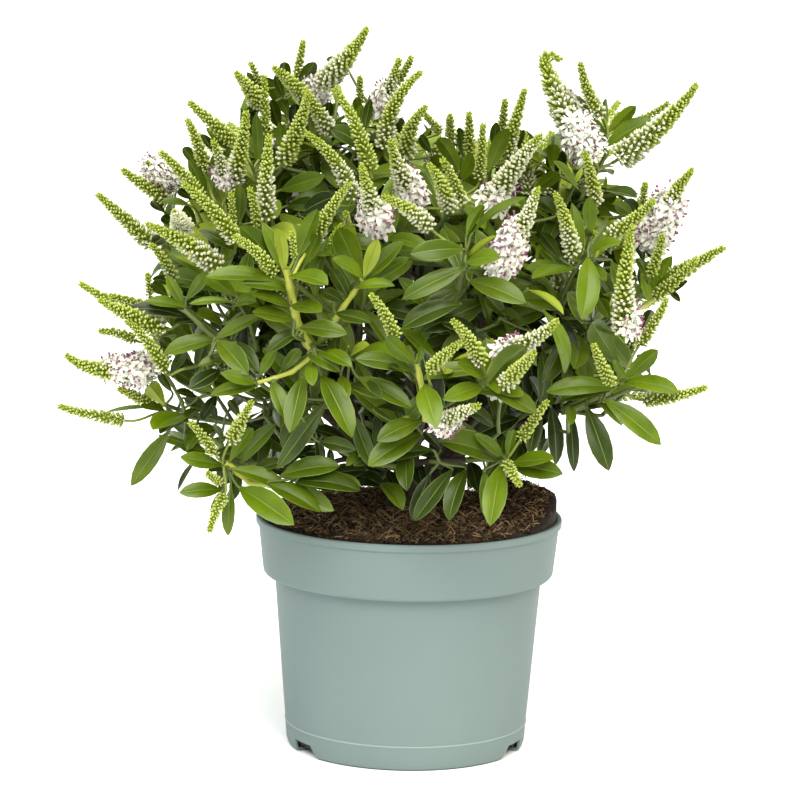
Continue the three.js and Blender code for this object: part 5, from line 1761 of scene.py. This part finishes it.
def flower_pieces(spikes, wood, draw):
    """The pieces of all the spikes, each kind apart, with their stalks down to the wood."""
    made_finishes["petal"] = natural("petal", PETAL_TONES, 0.6, patch=300)
    flowers = Flowers(FLOWER_FINISHES)
    for line, width, open_share, cream_share in spikes:
        stalk = foot_stalk(wood, line)
        marks = np.linspace(0, stalk.length, STALK_MARKS)
        flowers.stalk(stalk.at(marks), np.full(STALK_MARKS, STALK_RADIUS))
        flowers.spike(line, width, open_share, cream_share, draw)
    for name, pile in flowers.piles.items():
        pile.pieces("spike_" + name, finish(FLOWER_FINISHES[name]), "foliage")


# ---- Stage and light ----

SUN_WAY = Vector((0.06, -0.76, 1.0))  # from the plant to the lamp
SUN_POWER = 5.3
SUN_ANGLE = math.radians(60)
SUN_COLOUR = (1.0, 0.985, 0.91)
SKY_COLOURS = ((0.84, 0.91, 1.0, 1.0), (1.0, 0.98, 0.84, 1.0))  # from the left and the right
SKY_POWER = 1.07
FLOOR_SIZE = 30  # metres
FLOOR_TONES = ((0.97, 0.97, 0.97, 1.0),) * 2


def stage():
    """A plain pale floor, a soft sky and one wide lamp."""
    deselect()
    bpy.ops.mesh.primitive_plane_add(size=FLOOR_SIZE)
    floor = bpy.context.object
    floor.name = "floor"
    floor.data.materials.append(natural("pale_floor", FLOOR_TONES, 0.9, relief=0.00001))
    world = bpy.data.worlds.new("studio")
    world.use_nodes = True
    tree = world.node_tree
    sky = tree.nodes["Background"]
    sky.inputs["Strength"].default_value = SKY_POWER
    way = node_of(tree, "ShaderNodeTexCoord")
    parts = node_of(tree, "ShaderNodeSeparateXYZ")
    share = node_of(tree, "ShaderNodeMapRange", **{"From Min": -1.0, "From Max": 1.0})
    ramp = node_of(tree, "ShaderNodeValToRGB")
    for element, colour in zip(ramp.color_ramp.elements, SKY_COLOURS):
        element.color = colour
    link(
        tree,
        (way, "Generated", parts, "Vector"),
        (parts, "X", share, "Value"),
        (share, "Result", ramp, "Fac"),
        (ramp, "Color", sky, "Color"),
    )
    bpy.context.scene.world = world
    lamp = bpy.data.objects.new("sun", bpy.data.lights.new("sun", "SUN"))
    bpy.context.scene.collection.objects.link(lamp)
    lamp.data.energy = SUN_POWER
    lamp.data.angle = SUN_ANGLE
    lamp.data.color = SUN_COLOUR
    lamp.rotation_euler = SUN_WAY.to_track_quat("Z", "Y").to_euler()
    bpy.context.scene.view_settings.view_transform = "Standard"


# ---- The whole ----

add_camera()
stage()
draw = seeded_draws(SEED)
pot()
compost()
compost_litter(draw)
woody_foot()
limb_bark()
front_stems()
shoots = plan_shoots()
wood = Wood([shoot for shoot in shoots if shoot.leafy or shoot.bare])
leaves = {tint: [] for tint in TINTS}
cover = Cover()
for row in FRONT_LEAVES:
    tint, leaf = front_leaf(row, draw)
    leaves[tint].append(leaf)
    cover.add(leaf_stations(leaf)[0][1:])
leaf_twigs([leaf for members in leaves.values() for leaf in members], wood)
spikes = front_spikes()
for line, *_ in spikes:
    cover.add(line.at(np.linspace(0, line.length, 8)))
cover.close()
leaves_of(shoots, leaves, cover, draw)
spikes += rule_spikes(shoots, spikes, cover, draw)
flower_pieces(spikes, wood, draw)
blades = leaf_pieces(leaves)
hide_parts(*["foliage_" + limb.name for limb in LIMBS])
twig_wood(shoots)

bpy.context.view_layer.update()
